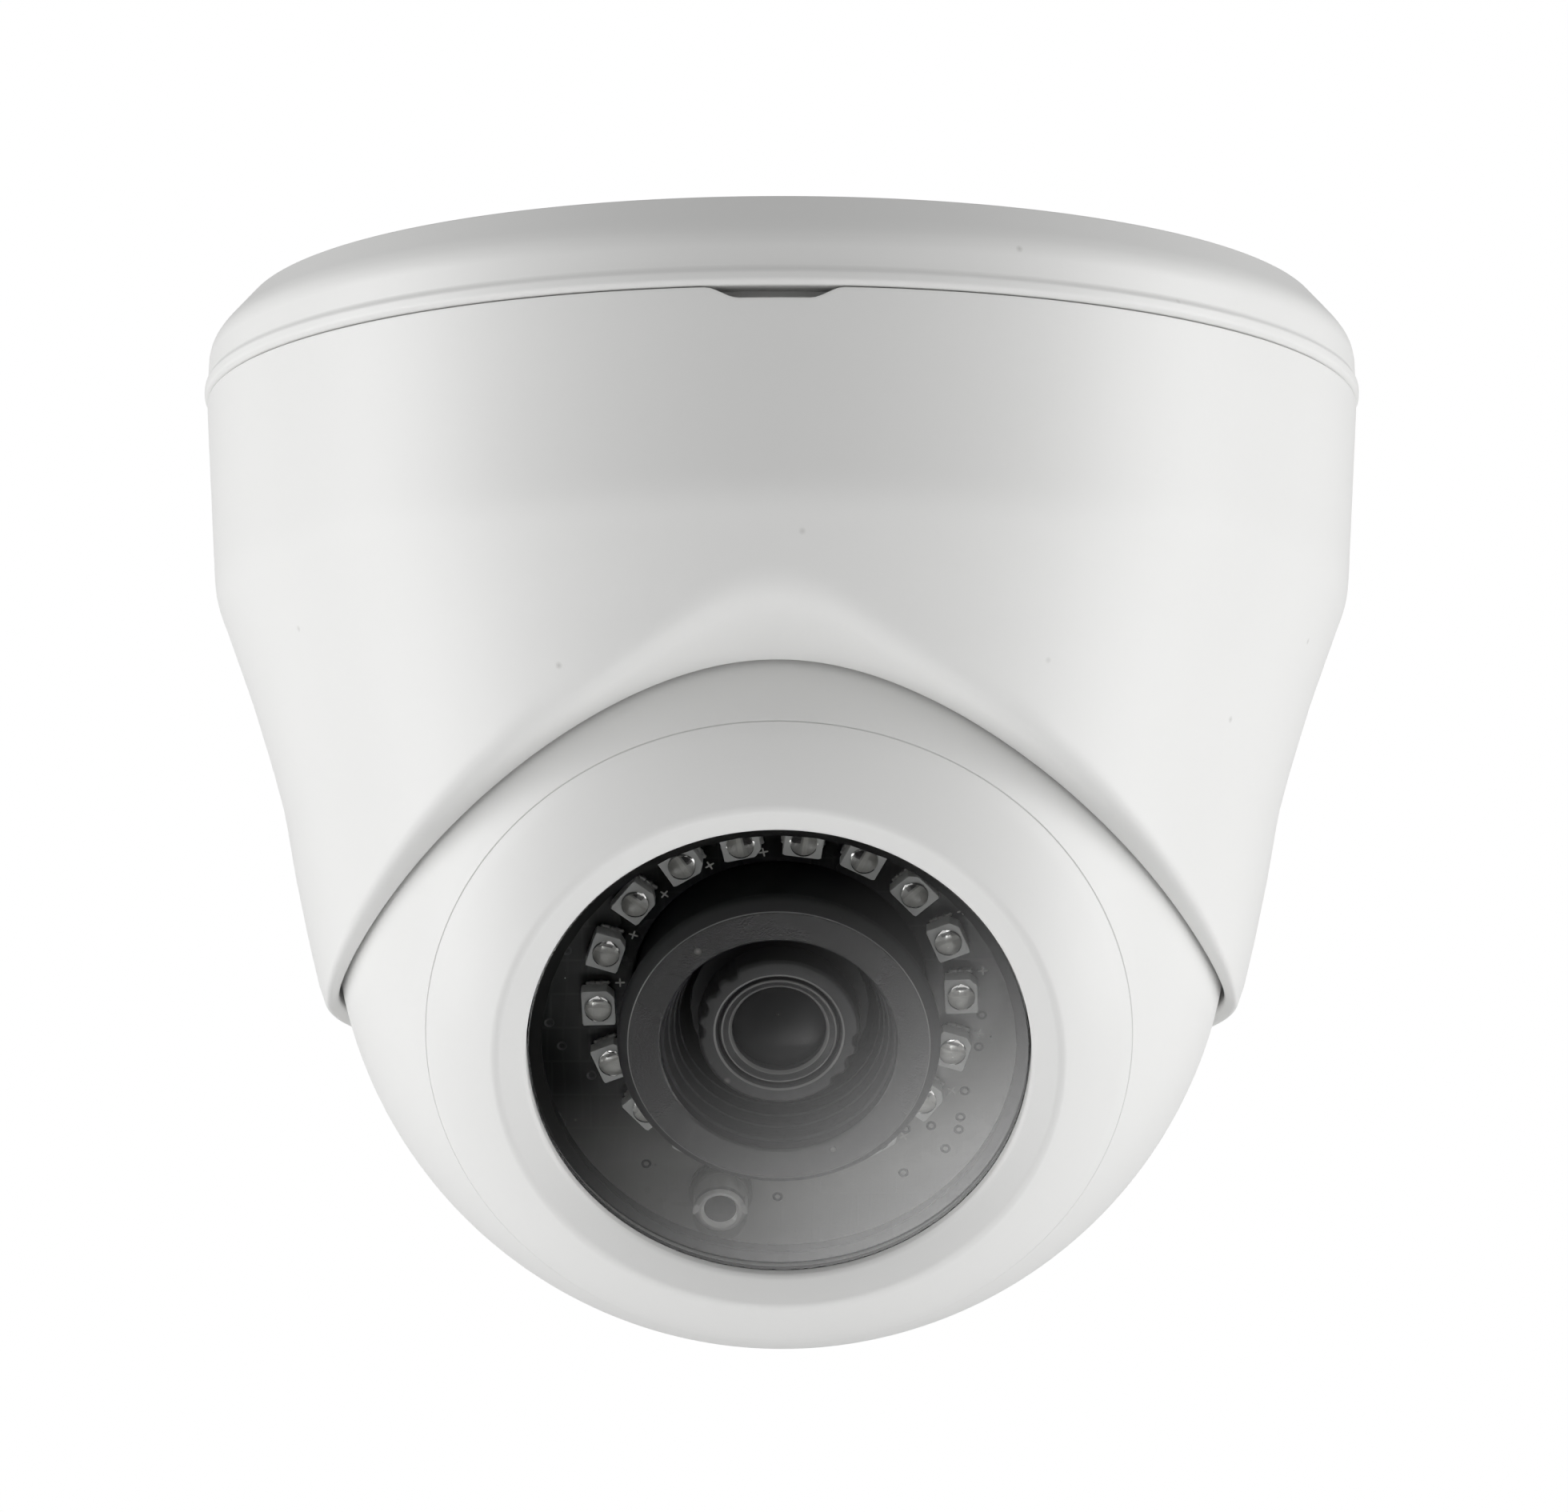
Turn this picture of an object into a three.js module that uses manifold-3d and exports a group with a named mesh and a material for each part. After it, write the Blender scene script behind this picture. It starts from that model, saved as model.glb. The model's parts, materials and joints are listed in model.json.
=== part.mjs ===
// Eyeball dome security camera for a ceiling. Millimetres, +Z up.
// Origin: centre of the base's ceiling face. The body hangs towards -Z and looks towards -Y.
import * as THREE from 'three';
import { mergeVertices } from 'three/addons/utils/BufferGeometryUtils.js';
import Module from 'manifold-3d';

const wasm = await Module();
wasm.setup();

// ---------------------------------------------------------------- driving dimensions
const GAP = 0.3;

// base
const CEILING_FACE_R = 49.1;
const BASE_BAND_R = 52.6;
const BASE_BEAD_R = 53.0;
const BASE_CHAMFER_DROP = 3.9;
const BASE_RIM_Z = -8.8;
const BASE_PLATE_T = 2.8;
const SKIRT_R = 49.8;
const SKIRT_T = 2.0;
const SKIRT_END_Z = -17.0;
const SNAP_BEAD_R = 50.8;
const SNAP_BEAD_Z = -13.7;
const SCREW_SLOT_COUNT = 3;
const SCREW_SLOT_R = 36;
const SCREW_SLOT_W = 3.8;
const SCREW_SLOT_L = 9;
const CABLE_HOLE_Y = 20;
const CABLE_HOLE_R = 8;

// ball
const BALL_Z = -54.8;
const BALL_R = 40.9;
const BALL_WALL = 2.3;
const LOOK_DOWN_DEG = 37;
const PARTING_R = 31.6;
const CABLE_EXIT_ANGLE_DEG = 142;
const CABLE_EXIT_R = 6;

// cover
const COVER_TOP_Z = -9.1;
const COVER_TOP_R = 52.8;
const COVER_WALL = 2.2;
const COVER_SEAT_R = BALL_R + 0.4;
const COVER_SEGMENTS = 72;
const STEP_Z = -14.6;
const STEP_R = 51.2;
const LIP_T = 2.4;
const NOTCH_W = 6.2;
const NOTCH_SLOPE = 3.0;
const NOTCH_DEPTH = 1.0;
const CLAMP_SCREW_R = 44.2;
const CLAMP_SCREW_AZIMUTHS = [65, 180, 295];
const CLAMP_FLANGE_Z = -33.0;
const CLAMP_FLANGE_T = 2.0;

// window and bezel, measured along the optical axis from the ball's centre
const WINDOW_R = 22.2;
const WINDOW_FRONT = 29.0;
const WINDOW_T = 1.1;
const BEVEL_R = 25.5;
const BEVEL_FRONT = 30.9;
const LEDGE_FRONT = 27.0;
const LEDGE_R = 21.2;
const COLLAR_R = 30.1;
const COLLAR_T = 1.2;
const COLLAR_BACK = 20.5;

// infrared board
const LED_BOARD_FRONT = 17.6;
const LED_BOARD_T = 1.6;
const LED_BOARD_R = 28.5;
const LED_BOARD_HOLE_R = 13.4;
const LED_COUNT = 18;
const LED_RING_R = 16.0;
const LED_FIRST_DEG = 8;
const LED_LONG = 3.5;
const LED_SHORT = 3.0;
const LED_H = 1.4;
const LED_CLIP = 0.7;
const PHOTOCELL_X = -5.5;
const PHOTOCELL_Y = -20.1;
const PHOTOCELL_R = 2.5;
const PHOTOCELL_H = 7.0;
const LED_SCREW_R = 25.5;
const LED_SCREW_DEGS = [58, 122, -122, -58];

// hood and lens
const HOOD_R = 13.95;
const HOOD_STEM_R = 13.0;
const HOOD_MOUTH_R = 10.55;
const HOOD_BORE_R = 8.6;
const HOOD_FRONT = 27.5;
const LENS_FRONT = 25.0;
const LENS_HEAD_R = 7.25;
const LENS_HEAD_H = 2.8;
const LENS_THREAD_R = 5.95;
const LENS_BACK = 9.2;
const LENS_NOTCH_DEGS = [97, 115, 133, 270, 288, 306, 324];

// lens mount and day and night filter
const MOUNT_X = 26;
const MOUNT_Y = 19;
const MOUNT_FRONT = 8.6;
const MOUNT_TUBE_R = 8.0;
const MOUNT_TUBE_FRONT = 20.0;
const FILTER_TRAVEL = 7;
const SLOT_FRONT = 7.4;
const SLOT_BACK = 5.0;
const SLIDER_X = 15;
const SLIDER_Y = 8;
const SLIDER_T = 1.6;
const FILTER_PANE = 5.6;

// main board
const MAIN_BOARD_SIZE = 38;
const MAIN_BOARD_FRONT = 1.6;
const MAIN_BOARD_T = 1.6;
const MAIN_POST = 16;
const BRACKET_BACK = 9.0;
const BRACKET_T = 2.0;
const BRACKET_R = 35.4;
const BRACKET_HOLE_R = 9;
const BRACKET_SCREW_R = 33;
const BRACKET_SCREW_DEGS = [0, 120, 240];
const POST_R = 2.2;
const SCREW_R = 1.1;
const SCREW_HOLE_R = 1.4;
const SCREW_HEAD_R = 2.3;
const SCREW_HEAD_H = 1.3;

// ---------------------------------------------------------------- helpers
const rad = THREE.MathUtils.degToRad;
const v2 = (x, y) => new THREE.Vector2(x, y);

function volume(geometry) {
  const p = geometry.attributes.position;
  const index = geometry.index;
  const [a, b, c] = [new THREE.Vector3(), new THREE.Vector3(), new THREE.Vector3()];
  let sum = 0;
  for (let i = 0; i < index.count; i += 3) {
    a.fromBufferAttribute(p, index.getX(i));
    b.fromBufferAttribute(p, index.getX(i + 1));
    c.fromBufferAttribute(p, index.getX(i + 2));
    sum += a.dot(b.cross(c));
  }
  return sum / 6;
}

// One closed, outward-facing surface with shared corners.
function closed(geometry) {
  const g = geometry.clone();
  g.deleteAttribute('normal');
  g.deleteAttribute('uv');
  const merged = mergeVertices(g, 1e-4);
  const index = Array.from(merged.index.array);
  const kept = [];
  for (let i = 0; i < index.length; i += 3) {
    const [a, b, c] = index.slice(i, i + 3);
    if (a !== b && b !== c && c !== a) {
      kept.push(a, b, c);
    }
  }
  merged.setIndex(kept);
  if (volume(merged) < 0) {
    const flipped = [];
    for (let i = 0; i < kept.length; i += 3) {
      flipped.push(kept[i], kept[i + 2], kept[i + 1]);
    }
    merged.setIndex(flipped);
  }
  return merged;
}

function toSolid(geometry) {
  const g = closed(geometry);
  const vertProperties = new Float32Array(g.attributes.position.array);
  const triVerts = new Uint32Array(g.index.array);
  return new wasm.Manifold(new wasm.Mesh({ numProp: 3, vertProperties, triVerts }));
}

function fromSolid(solid) {
  const mesh = solid.getMesh();
  const g = new THREE.BufferGeometry();
  g.setAttribute('position', new THREE.BufferAttribute(new Float32Array(mesh.vertProperties), 3));
  g.setIndex(Array.from(mesh.triVerts));
  return g;
}

function cut(body, ...tools) {
  return fromSolid(tools.reduce((s, t) => s.subtract(toSolid(t)), toSolid(body)));
}

function join(body, ...others) {
  return fromSolid(others.reduce((s, t) => s.add(toSolid(t)), toSolid(body)));
}

// Revolve a profile of (radius, height) points about Z. Azimuth 0 is towards -Y.
function revolve(points, segments = 48) {
  const g = new THREE.LatheGeometry(points, segments);
  g.rotateX(Math.PI / 2);
  return closed(g);
}

// Sweep a closed section about Z whose (radius, height) points change with azimuth.
function sweepAbout(sectionAt, segments) {
  const g = new THREE.LatheGeometry(sectionAt(0), segments);
  const position = g.attributes.position;
  const count = sectionAt(0).length;
  for (let i = 0; i <= segments; i += 1) {
    const azimuth = 2 * Math.PI * (i % segments) / segments;
    sectionAt(azimuth).forEach((p, j) => {
      const x = p.x * Math.sin(azimuth);
      const y = -p.x * Math.cos(azimuth);
      position.setXYZ(i * count + j, x, y, p.y);
    });
  }
  return closed(g);
}

function cylinder(radius, z0, z1, x = 0, y = 0, segments = 24) {
  const g = new THREE.CylinderGeometry(radius, radius, Math.abs(z1 - z0), segments);
  g.rotateX(Math.PI / 2);
  g.translate(x, y, (z0 + z1) / 2);
  return g;
}

function box(sx, sy, z0, z1, x = 0, y = 0) {
  const g = new THREE.BoxGeometry(sx, sy, Math.abs(z1 - z0));
  g.translate(x, y, (z0 + z1) / 2);
  return g;
}

function prism(points, z0, z1) {
  const g = new THREE.ExtrudeGeometry(new THREE.Shape(points), { depth: z1 - z0, bevelEnabled: false });
  g.translate(0, 0, z0);
  return g;
}

function arc(cx, cy, radius, from, to, steps) {
  const points = [];
  for (let i = 0; i <= steps; i += 1) {
    const a = rad(from + (to - from) * i / steps);
    points.push(v2(cx + radius * Math.cos(a), cy + radius * Math.sin(a)));
  }
  return points;
}

// (x, y) at a clock angle seen from the front, 0 at the top.
const clock = (radius, deg) => [radius * Math.sin(rad(deg)), radius * Math.cos(rad(deg))];

// A round-headed screw along Z: its head's top is at headTop and its shank ends at tip.
function screw(headTop, direction, tip) {
  const headBack = headTop - direction * SCREW_HEAD_H;
  return revolve([
    v2(0, tip),
    v2(SCREW_R, tip + direction * 0.8),
    v2(SCREW_R, headBack),
    v2(SCREW_HEAD_R, headBack),
    v2(SCREW_HEAD_R - 0.5, headTop),
    v2(0, headTop),
  ], 10);
}

// ---------------------------------------------------------------- materials
const material = (color, roughness, metalness = 0) =>
  new THREE.MeshStandardMaterial({ color, roughness, metalness });
const whitePlastic = () => material(0xe8e8e6, 0.42);
const blackPlastic = () => material(0x1c1c1d, 0.55);
const rubber = () => material(0x151515, 0.8);
const screwSteel = () => material(0xb4b6b8, 0.3, 1);
const boardBlack = () => material(0x141416, 0.35);
const boardGreen = () => material(0x1d4a2c, 0.45);
const ledBody = () => material(0xd6d6d2, 0.4);
const lensMetal = () => material(0x242426, 0.38, 0.5);
const opticalGlass = () => material(0x14171b, 0.05);
const chipBlack = () => material(0x1a1a1b, 0.5);

const root = new THREE.Group();

function place(parent, name, geometry, mat, x = 0, y = 0, z = 0) {
  const mesh = new THREE.Mesh(geometry, mat);
  mesh.name = name;
  mesh.position.set(x, y, z);
  parent.add(mesh);
  return mesh;
}

// ---------------------------------------------------------------- base
function basePlate() {
  const rim = [
    v2(0, 0),
    v2(CEILING_FACE_R - 0.5, 0),
    v2(CEILING_FACE_R, -0.15),
    v2(BASE_BAND_R - 0.9, -BASE_CHAMFER_DROP + 0.9),
    v2(BASE_BAND_R - 0.3, -BASE_CHAMFER_DROP),
    v2(BASE_BAND_R, -BASE_CHAMFER_DROP - 1),
    v2(BASE_BAND_R + 0.1, BASE_RIM_Z + 1.5),
    v2(BASE_BEAD_R, BASE_RIM_Z + 1.1),
    v2(BASE_BEAD_R, BASE_RIM_Z + 0.4),
    v2(BASE_BAND_R, BASE_RIM_Z),
    v2(SKIRT_R, BASE_RIM_Z),
    v2(SKIRT_R, SNAP_BEAD_Z + 0.9),
    v2(SNAP_BEAD_R, SNAP_BEAD_Z + 0.3),
    v2(SNAP_BEAD_R, SNAP_BEAD_Z - 0.3),
    v2(SKIRT_R, SNAP_BEAD_Z - 0.9),
    v2(SKIRT_R, SKIRT_END_Z),
    v2(SKIRT_R - SKIRT_T, SKIRT_END_Z),
    v2(SKIRT_R - SKIRT_T, -BASE_PLATE_T - 1.5),
    v2(SKIRT_R - SKIRT_T - 1.5, -BASE_PLATE_T),
    v2(0, -BASE_PLATE_T),
  ];
  const slots = [];
  const bosses = [];
  const ribs = [];
  for (let i = 0; i < SCREW_SLOT_COUNT; i += 1) {
    const turn = 2 * Math.PI * i / SCREW_SLOT_COUNT;
    const slot = box(SCREW_SLOT_L, SCREW_SLOT_W, 1, -BASE_PLATE_T - 4, 0, -SCREW_SLOT_R);
    slots.push(slot.rotateZ(turn));
    const boss = box(SCREW_SLOT_L + 4, SCREW_SLOT_W + 4, -1, -BASE_PLATE_T - 1.5, 0, -SCREW_SLOT_R);
    bosses.push(boss.rotateZ(turn));
    const rib = box(1.6, 26, -1, -BASE_PLATE_T - 2.5, 0, -SCREW_SLOT_R + 1);
    ribs.push(rib.rotateZ(turn + Math.PI / SCREW_SLOT_COUNT * 1.5));
  }
  const cableHole = cylinder(CABLE_HOLE_R, 1, -BASE_PLATE_T - 1, 0, CABLE_HOLE_Y, 24);
  return cut(join(revolve(rim, 72), ...bosses, ...ribs), ...slots, cableHole);
}

function cableGrommet() {
  const bore = 4.2;
  const body = CABLE_HOLE_R - GAP;
  const back = -BASE_PLATE_T - GAP;
  return revolve([
    v2(bore, -GAP),
    v2(body, -GAP),
    v2(body, back),
    v2(body + 2, back),
    v2(body + 1.6, back - 1.3),
    v2(bore + 0.6, back - 1.3),
    v2(bore, back - 0.9),
    v2(bore, -GAP),
  ], 24);
}

place(root, 'base_plate', basePlate(), whitePlastic());
place(root, 'cable_grommet', cableGrommet(), rubber(), 0, CABLE_HOLE_Y, 0);

// ---------------------------------------------------------------- cover
const COVER_OUTLINE = [
  [-9.4, 52.8],
  [-25.6, 51.95],
  [-26.9, 51.8],
  [-28.2, 51.45],
  [-29.5, 50.95],
  [-36.5, 48.45],
  [-42.5, 46.6],
  [-46.9, 45.4],
  [-52.9, 44.35],
  [-58.8, 43.1],
  [-63.0, 42.1],
  [-66.0, 41.0],
];

function coverRadius(z) {
  let i = 1;
  while (i < COVER_OUTLINE.length - 1 && z < COVER_OUTLINE[i][0]) {
    i += 1;
  }
  const [z0, r0] = COVER_OUTLINE[i - 1];
  const [z1, r1] = COVER_OUTLINE[i];
  return r0 + (r1 - r0) * (z - z0) / (z1 - z0);
}

const seatRadius = (z) => Math.sqrt(Math.max(COVER_SEAT_R ** 2 - (z - BALL_Z) ** 2, 0));
const coverInside = (z) => Math.max(coverRadius(z) - COVER_WALL, seatRadius(z));

// Height of the mouth's outer and inner edges around the ball.
function mouth(azimuth) {
  const c = Math.max(Math.cos(azimuth), 0);
  const signed = Math.atan2(Math.sin(azimuth), Math.cos(azimuth));
  const brow = Math.exp(-((signed / rad(14)) ** 2));
  return { outer: -65.0 + 24.2 * c * c + 5.0 * brow, inner: -64.0 + 24.35 * c ** 2.33 };
}

function coverSection(azimuth) {
  const { outer, inner } = mouth(azimuth);
  const points = [v2(STEP_R, COVER_TOP_Z), v2(COVER_TOP_R - 0.4, COVER_TOP_Z)];
  [0, 1, 2, 3, 4].forEach((i) => points.push(v2(COVER_OUTLINE[i][1], COVER_OUTLINE[i][0])));
  const corner = v2(coverRadius(outer), outer);
  const edge = v2(seatRadius(inner), inner);
  const round = Math.min(1.8, 0.45 * corner.distanceTo(edge));
  const wallEnd = outer + round;
  const wallSteps = 5;
  for (let i = 1; i <= wallSteps; i += 1) {
    const z = COVER_OUTLINE[4][0] + (wallEnd - COVER_OUTLINE[4][0]) * i / wallSteps;
    points.push(v2(coverRadius(z), z));
  }
  const lipStart = corner.clone().lerp(edge, round / corner.distanceTo(edge));
  const middle = corner.clone().lerp(v2((points.at(-1).x + lipStart.x) / 2, (wallEnd + lipStart.y) / 2), 0.5);
  points.push(middle, lipStart, edge);
  const shelf = inner + LIP_T;
  const wallFoot = Math.max(outer + LIP_T, shelf + 0.4);
  points.push(v2(seatRadius(inner + LIP_T / 2), inner + LIP_T / 2));
  points.push(v2(seatRadius(shelf), shelf));
  const insideTop = COVER_OUTLINE[4][0];
  for (let i = 0; i <= wallSteps; i += 1) {
    const z = wallFoot + (insideTop - wallFoot) * i / wallSteps;
    points.push(v2(coverInside(z), z));
  }
  points.push(v2(coverInside(COVER_OUTLINE[1][0]), COVER_OUTLINE[1][0]));
  points.push(v2(coverInside(STEP_Z), STEP_Z));
  points.push(v2(STEP_R, STEP_Z));
  points.push(v2(STEP_R, COVER_TOP_Z));
  return points;
}

function coverShell() {
  const half = NOTCH_W / 2;
  const notch = prism([
    v2(-half - NOTCH_SLOPE, COVER_TOP_Z + 0.5),
    v2(-half - NOTCH_SLOPE, COVER_TOP_Z - 0.1),
    v2(-half, COVER_TOP_Z - NOTCH_DEPTH),
    v2(half, COVER_TOP_Z - NOTCH_DEPTH),
    v2(half + NOTCH_SLOPE, COVER_TOP_Z - 0.1),
    v2(half + NOTCH_SLOPE, COVER_TOP_Z + 0.5),
  ], 45, 60);
  notch.rotateX(Math.PI / 2);
  const bossTop = CLAMP_FLANGE_Z - GAP;
  const bosses = [];
  const holes = [];
  CLAMP_SCREW_AZIMUTHS.forEach((deg) => {
    const x = CLAMP_SCREW_R * Math.sin(rad(deg));
    const y = -CLAMP_SCREW_R * Math.cos(rad(deg));
    bosses.push(cylinder(2.7, bossTop, bossTop - 6.4, x, y, 12));
    holes.push(cylinder(SCREW_HOLE_R, bossTop + 1, bossTop - 5.4, x, y, 8));
  });
  return cut(join(sweepAbout(coverSection, COVER_SEGMENTS), ...bosses), ...holes, notch);
}

// The ring that presses the ball into the cover's mouth from above.
function clampRing() {
  const top = CLAMP_FLANGE_Z + 4.4;
  const flangeTop = CLAMP_FLANGE_Z + CLAMP_FLANGE_T;
  const outerR = 46.3;
  const points = [];
  for (let i = 0; i <= 4; i += 1) {
    const z = CLAMP_FLANGE_Z + (top - CLAMP_FLANGE_Z) * i / 4;
    points.push(v2(seatRadius(z), z));
  }
  points.push(v2(seatRadius(top) + 2, top));
  points.push(v2(38.2, flangeTop));
  points.push(v2(outerR, flangeTop));
  points.push(v2(outerR, CLAMP_FLANGE_Z));
  points.push(points[0].clone());
  const holes = CLAMP_SCREW_AZIMUTHS.map((deg) => cylinder(
    SCREW_HOLE_R,
    CLAMP_FLANGE_Z - 1,
    flangeTop + 1,
    CLAMP_SCREW_R * Math.sin(rad(deg)),
    -CLAMP_SCREW_R * Math.cos(rad(deg)),
    8,
  ));
  return cut(revolve(points, 48), ...holes);
}

place(root, 'cover_shell', coverShell(), whitePlastic());
place(root, 'ball_clamp_ring', clampRing(), blackPlastic());
CLAMP_SCREW_AZIMUTHS.forEach((deg, i) => {
  const x = CLAMP_SCREW_R * Math.sin(rad(deg));
  const y = -CLAMP_SCREW_R * Math.cos(rad(deg));
  const headTop = CLAMP_FLANGE_Z + CLAMP_FLANGE_T + GAP + SCREW_HEAD_H;
  place(root, `clamp_ring_screw_${i + 1}`, screw(headTop, 1, CLAMP_FLANGE_Z - 4.6), screwSteel(), x, y, 0);
});

// ---------------------------------------------------------------- ball
// In this group +Z is the optical axis and +Y is up in the picture; the origin is the ball's centre.
const ball = new THREE.Group();
ball.position.set(0, 0, BALL_Z);
ball.rotation.x = rad(90 + LOOK_DOWN_DEG);
root.add(ball);

const polar = (radius, deg) => v2(radius * Math.sin(rad(deg)), radius * Math.cos(rad(deg)));
const PARTING_DEG = THREE.MathUtils.radToDeg(Math.asin(PARTING_R / BALL_R));

function alongCableExit(geometry) {
  return geometry.rotateX(-rad(CABLE_EXIT_ANGLE_DEG));
}

function ballRearShell() {
  const inside = BALL_R - BALL_WALL;
  const rimR = COLLAR_R + GAP;
  const rimBack = COLLAR_BACK + 2.4;
  const innerDeg = THREE.MathUtils.radToDeg(Math.acos(rimBack / inside));
  const points = [v2(rimR, PARTING_R / Math.tan(rad(PARTING_DEG)))];
  const steps = 15;
  for (let i = 0; i <= steps; i += 1) {
    points.push(polar(BALL_R, PARTING_DEG + (180 - PARTING_DEG) * i / steps));
  }
  points[points.length - 1].x = 0;
  const innerSteps = 8;
  for (let i = innerSteps; i >= 0; i -= 1) {
    points.push(polar(inside, innerDeg + (180 - innerDeg) * i / innerSteps));
  }
  points[steps + 2].x = 0;
  points.push(v2(rimR, rimBack));
  points.push(points[0].clone());
  const posts = [];
  const holes = [];
  const postFront = BRACKET_BACK - GAP;
  BRACKET_SCREW_DEGS.forEach((deg) => {
    const [x, y] = clock(BRACKET_SCREW_R, deg);
    posts.push(cylinder(2.6, postFront, -23, x, y, 12));
    holes.push(cylinder(SCREW_HOLE_R, postFront + 1, postFront - 7, x, y, 8));
  });
  const envelope = toSolid(new THREE.SphereGeometry(inside + 1, 24, 14));
  const shell = posts.reduce((s, p) => s.add(toSolid(p).intersect(envelope)), shellSolid(points, steps));
  const exit = alongCableExit(cylinder(CABLE_EXIT_R, 20, 50, 0, 0, 20));
  return fromSolid([...holes, exit].reduce((s, t) => s.subtract(toSolid(t)), shell));
}

// The profile of the ball's shell touches the axis at the rear, so it is turned as two solids.
function shellSolid(points, steps) {
  const front = points[0];
  const outer = points.slice(1, steps + 2);
  const inner = points.slice(steps + 2, points.length - 1);
  const full = [v2(0, front.y), front, ...outer];
  const hollow = [...inner, v2(inner.at(-1).x, front.y + 1), v2(0, front.y + 1)];
  return toSolid(revolve(full, 56)).subtract(toSolid(revolve(hollow, 32)));
}

function frontBezel() {
  const front = PARTING_R / Math.tan(rad(PARTING_DEG)) + GAP;
  const faceR = PARTING_R - 0.25;
  const boreR = WINDOW_R + GAP;
  const points = [
    v2(COLLAR_R, COLLAR_BACK),
    v2(COLLAR_R, front),
    v2(faceR, front),
    v2(faceR - 0.05, front + 0.25),
  ];
  const bow = 0.35;
  const faceSteps = 3;
  for (let i = 1; i < faceSteps; i += 1) {
    const t = i / faceSteps;
    const r = faceR + (BEVEL_R - faceR) * t;
    const d = front + 0.25 + (BEVEL_FRONT - 0.25 - front) * t;
    points.push(v2(r, d + bow * Math.sin(Math.PI * t)));
  }
  points.push(v2(BEVEL_R, BEVEL_FRONT));
  points.push(v2(BEVEL_R - 0.6, BEVEL_FRONT + 0.02));
  points.push(v2(boreR + 0.2, WINDOW_FRONT + 0.75));
  points.push(v2(boreR, WINDOW_FRONT + 0.5));
  points.push(v2(boreR, LEDGE_FRONT));
  points.push(v2(LEDGE_R, LEDGE_FRONT));
  points.push(v2(LEDGE_R, LEDGE_FRONT - 1.2));
  points.push(v2(COLLAR_R - COLLAR_T - 2.6, LEDGE_FRONT - 1.6));
  points.push(v2(COLLAR_R - COLLAR_T, LEDGE_FRONT - 3.2));
  points.push(v2(COLLAR_R - COLLAR_T, COLLAR_BACK));
  points.push(v2(COLLAR_R, COLLAR_BACK));
  return revolve(points, 64);
}

function windowGlass() {
  const back = WINDOW_FRONT - WINDOW_T;
  const soft = 0.2;
  return revolve([
    v2(0, back),
    v2(WINDOW_R, back),
    v2(WINDOW_R, WINDOW_FRONT - soft),
    v2(WINDOW_R - soft, WINDOW_FRONT),
    v2(0, WINDOW_FRONT),
  ], 56);
}

function ringOf(inner, outer, back, front, segments) {
  return revolve([v2(inner, back), v2(outer, back), v2(outer, front), v2(inner, front), v2(inner, back)], segments);
}

place(ball, 'ball_rear_shell', ballRearShell(), whitePlastic());
place(ball, 'front_bezel', frontBezel(), whitePlastic());
place(ball, 'window_glass', windowGlass(), opticalGlass());
place(ball, 'window_gasket', ringOf(LEDGE_R, WINDOW_R, LEDGE_FRONT + 0.3, LEDGE_FRONT + 0.6, 40), rubber());

// Grommet in the ball's cable exit.
function ballGrommet() {
  const body = CABLE_EXIT_R - GAP;
  const bore = 3;
  const g = revolve([
    v2(bore, 36.2),
    v2(body + 1.8, 36.2),
    v2(body + 1.8, 37.3),
    v2(body, 37.3),
    v2(body, 40.1),
    v2(bore, 40.1),
    v2(bore, 36.2),
  ], 18);
  return alongCableExit(g);
}
place(ball, 'ball_grommet', ballGrommet(), rubber());

// ---------------------------------------------------------------- infrared board
const LED_BOARD_BACK = LED_BOARD_FRONT - LED_BOARD_T;

function ledBoard() {
  const holes = LED_SCREW_DEGS.map((deg) => {
    const [x, y] = clock(LED_SCREW_R, deg);
    return cylinder(SCREW_HOLE_R, LED_BOARD_BACK - 1, LED_BOARD_FRONT + 1, x, y, 8);
  });
  return cut(ringOf(LED_BOARD_HOLE_R, LED_BOARD_R, LED_BOARD_BACK, LED_BOARD_FRONT, 48), ...holes);
}

// A surface-mount emitter: a body with one clipped corner and a round clear lens in its top.
function led() {
  const x = LED_LONG / 2;
  const y = LED_SHORT / 2;
  const body = prism([
    v2(-x, -y),
    v2(x - LED_CLIP, -y),
    v2(x, -y + LED_CLIP),
    v2(x, y),
    v2(-x, y),
  ], 0, LED_H);
  const lensR = 1.2;
  const dome = revolve([
    v2(0, LED_H - 0.4),
    v2(lensR, LED_H - 0.4),
    v2(lensR, LED_H + 0.1),
    v2(0, LED_H + 0.45),
  ], 10);
  return join(body, dome);
}

function photocell() {
  const h = PHOTOCELL_H;
  const r = PHOTOCELL_R;
  return revolve([
    v2(0, 0),
    v2(r + 0.4, 0),
    v2(r + 0.4, 1),
    v2(r, 1),
    ...arc(0, h - r, r, 0, 90, 4).map((p) => v2(Math.max(p.x, 0), p.y)).slice(0, -1),
    v2(0, h),
  ], 16);
}

place(ball, 'ir_led_board', ledBoard(), boardBlack());
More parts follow.
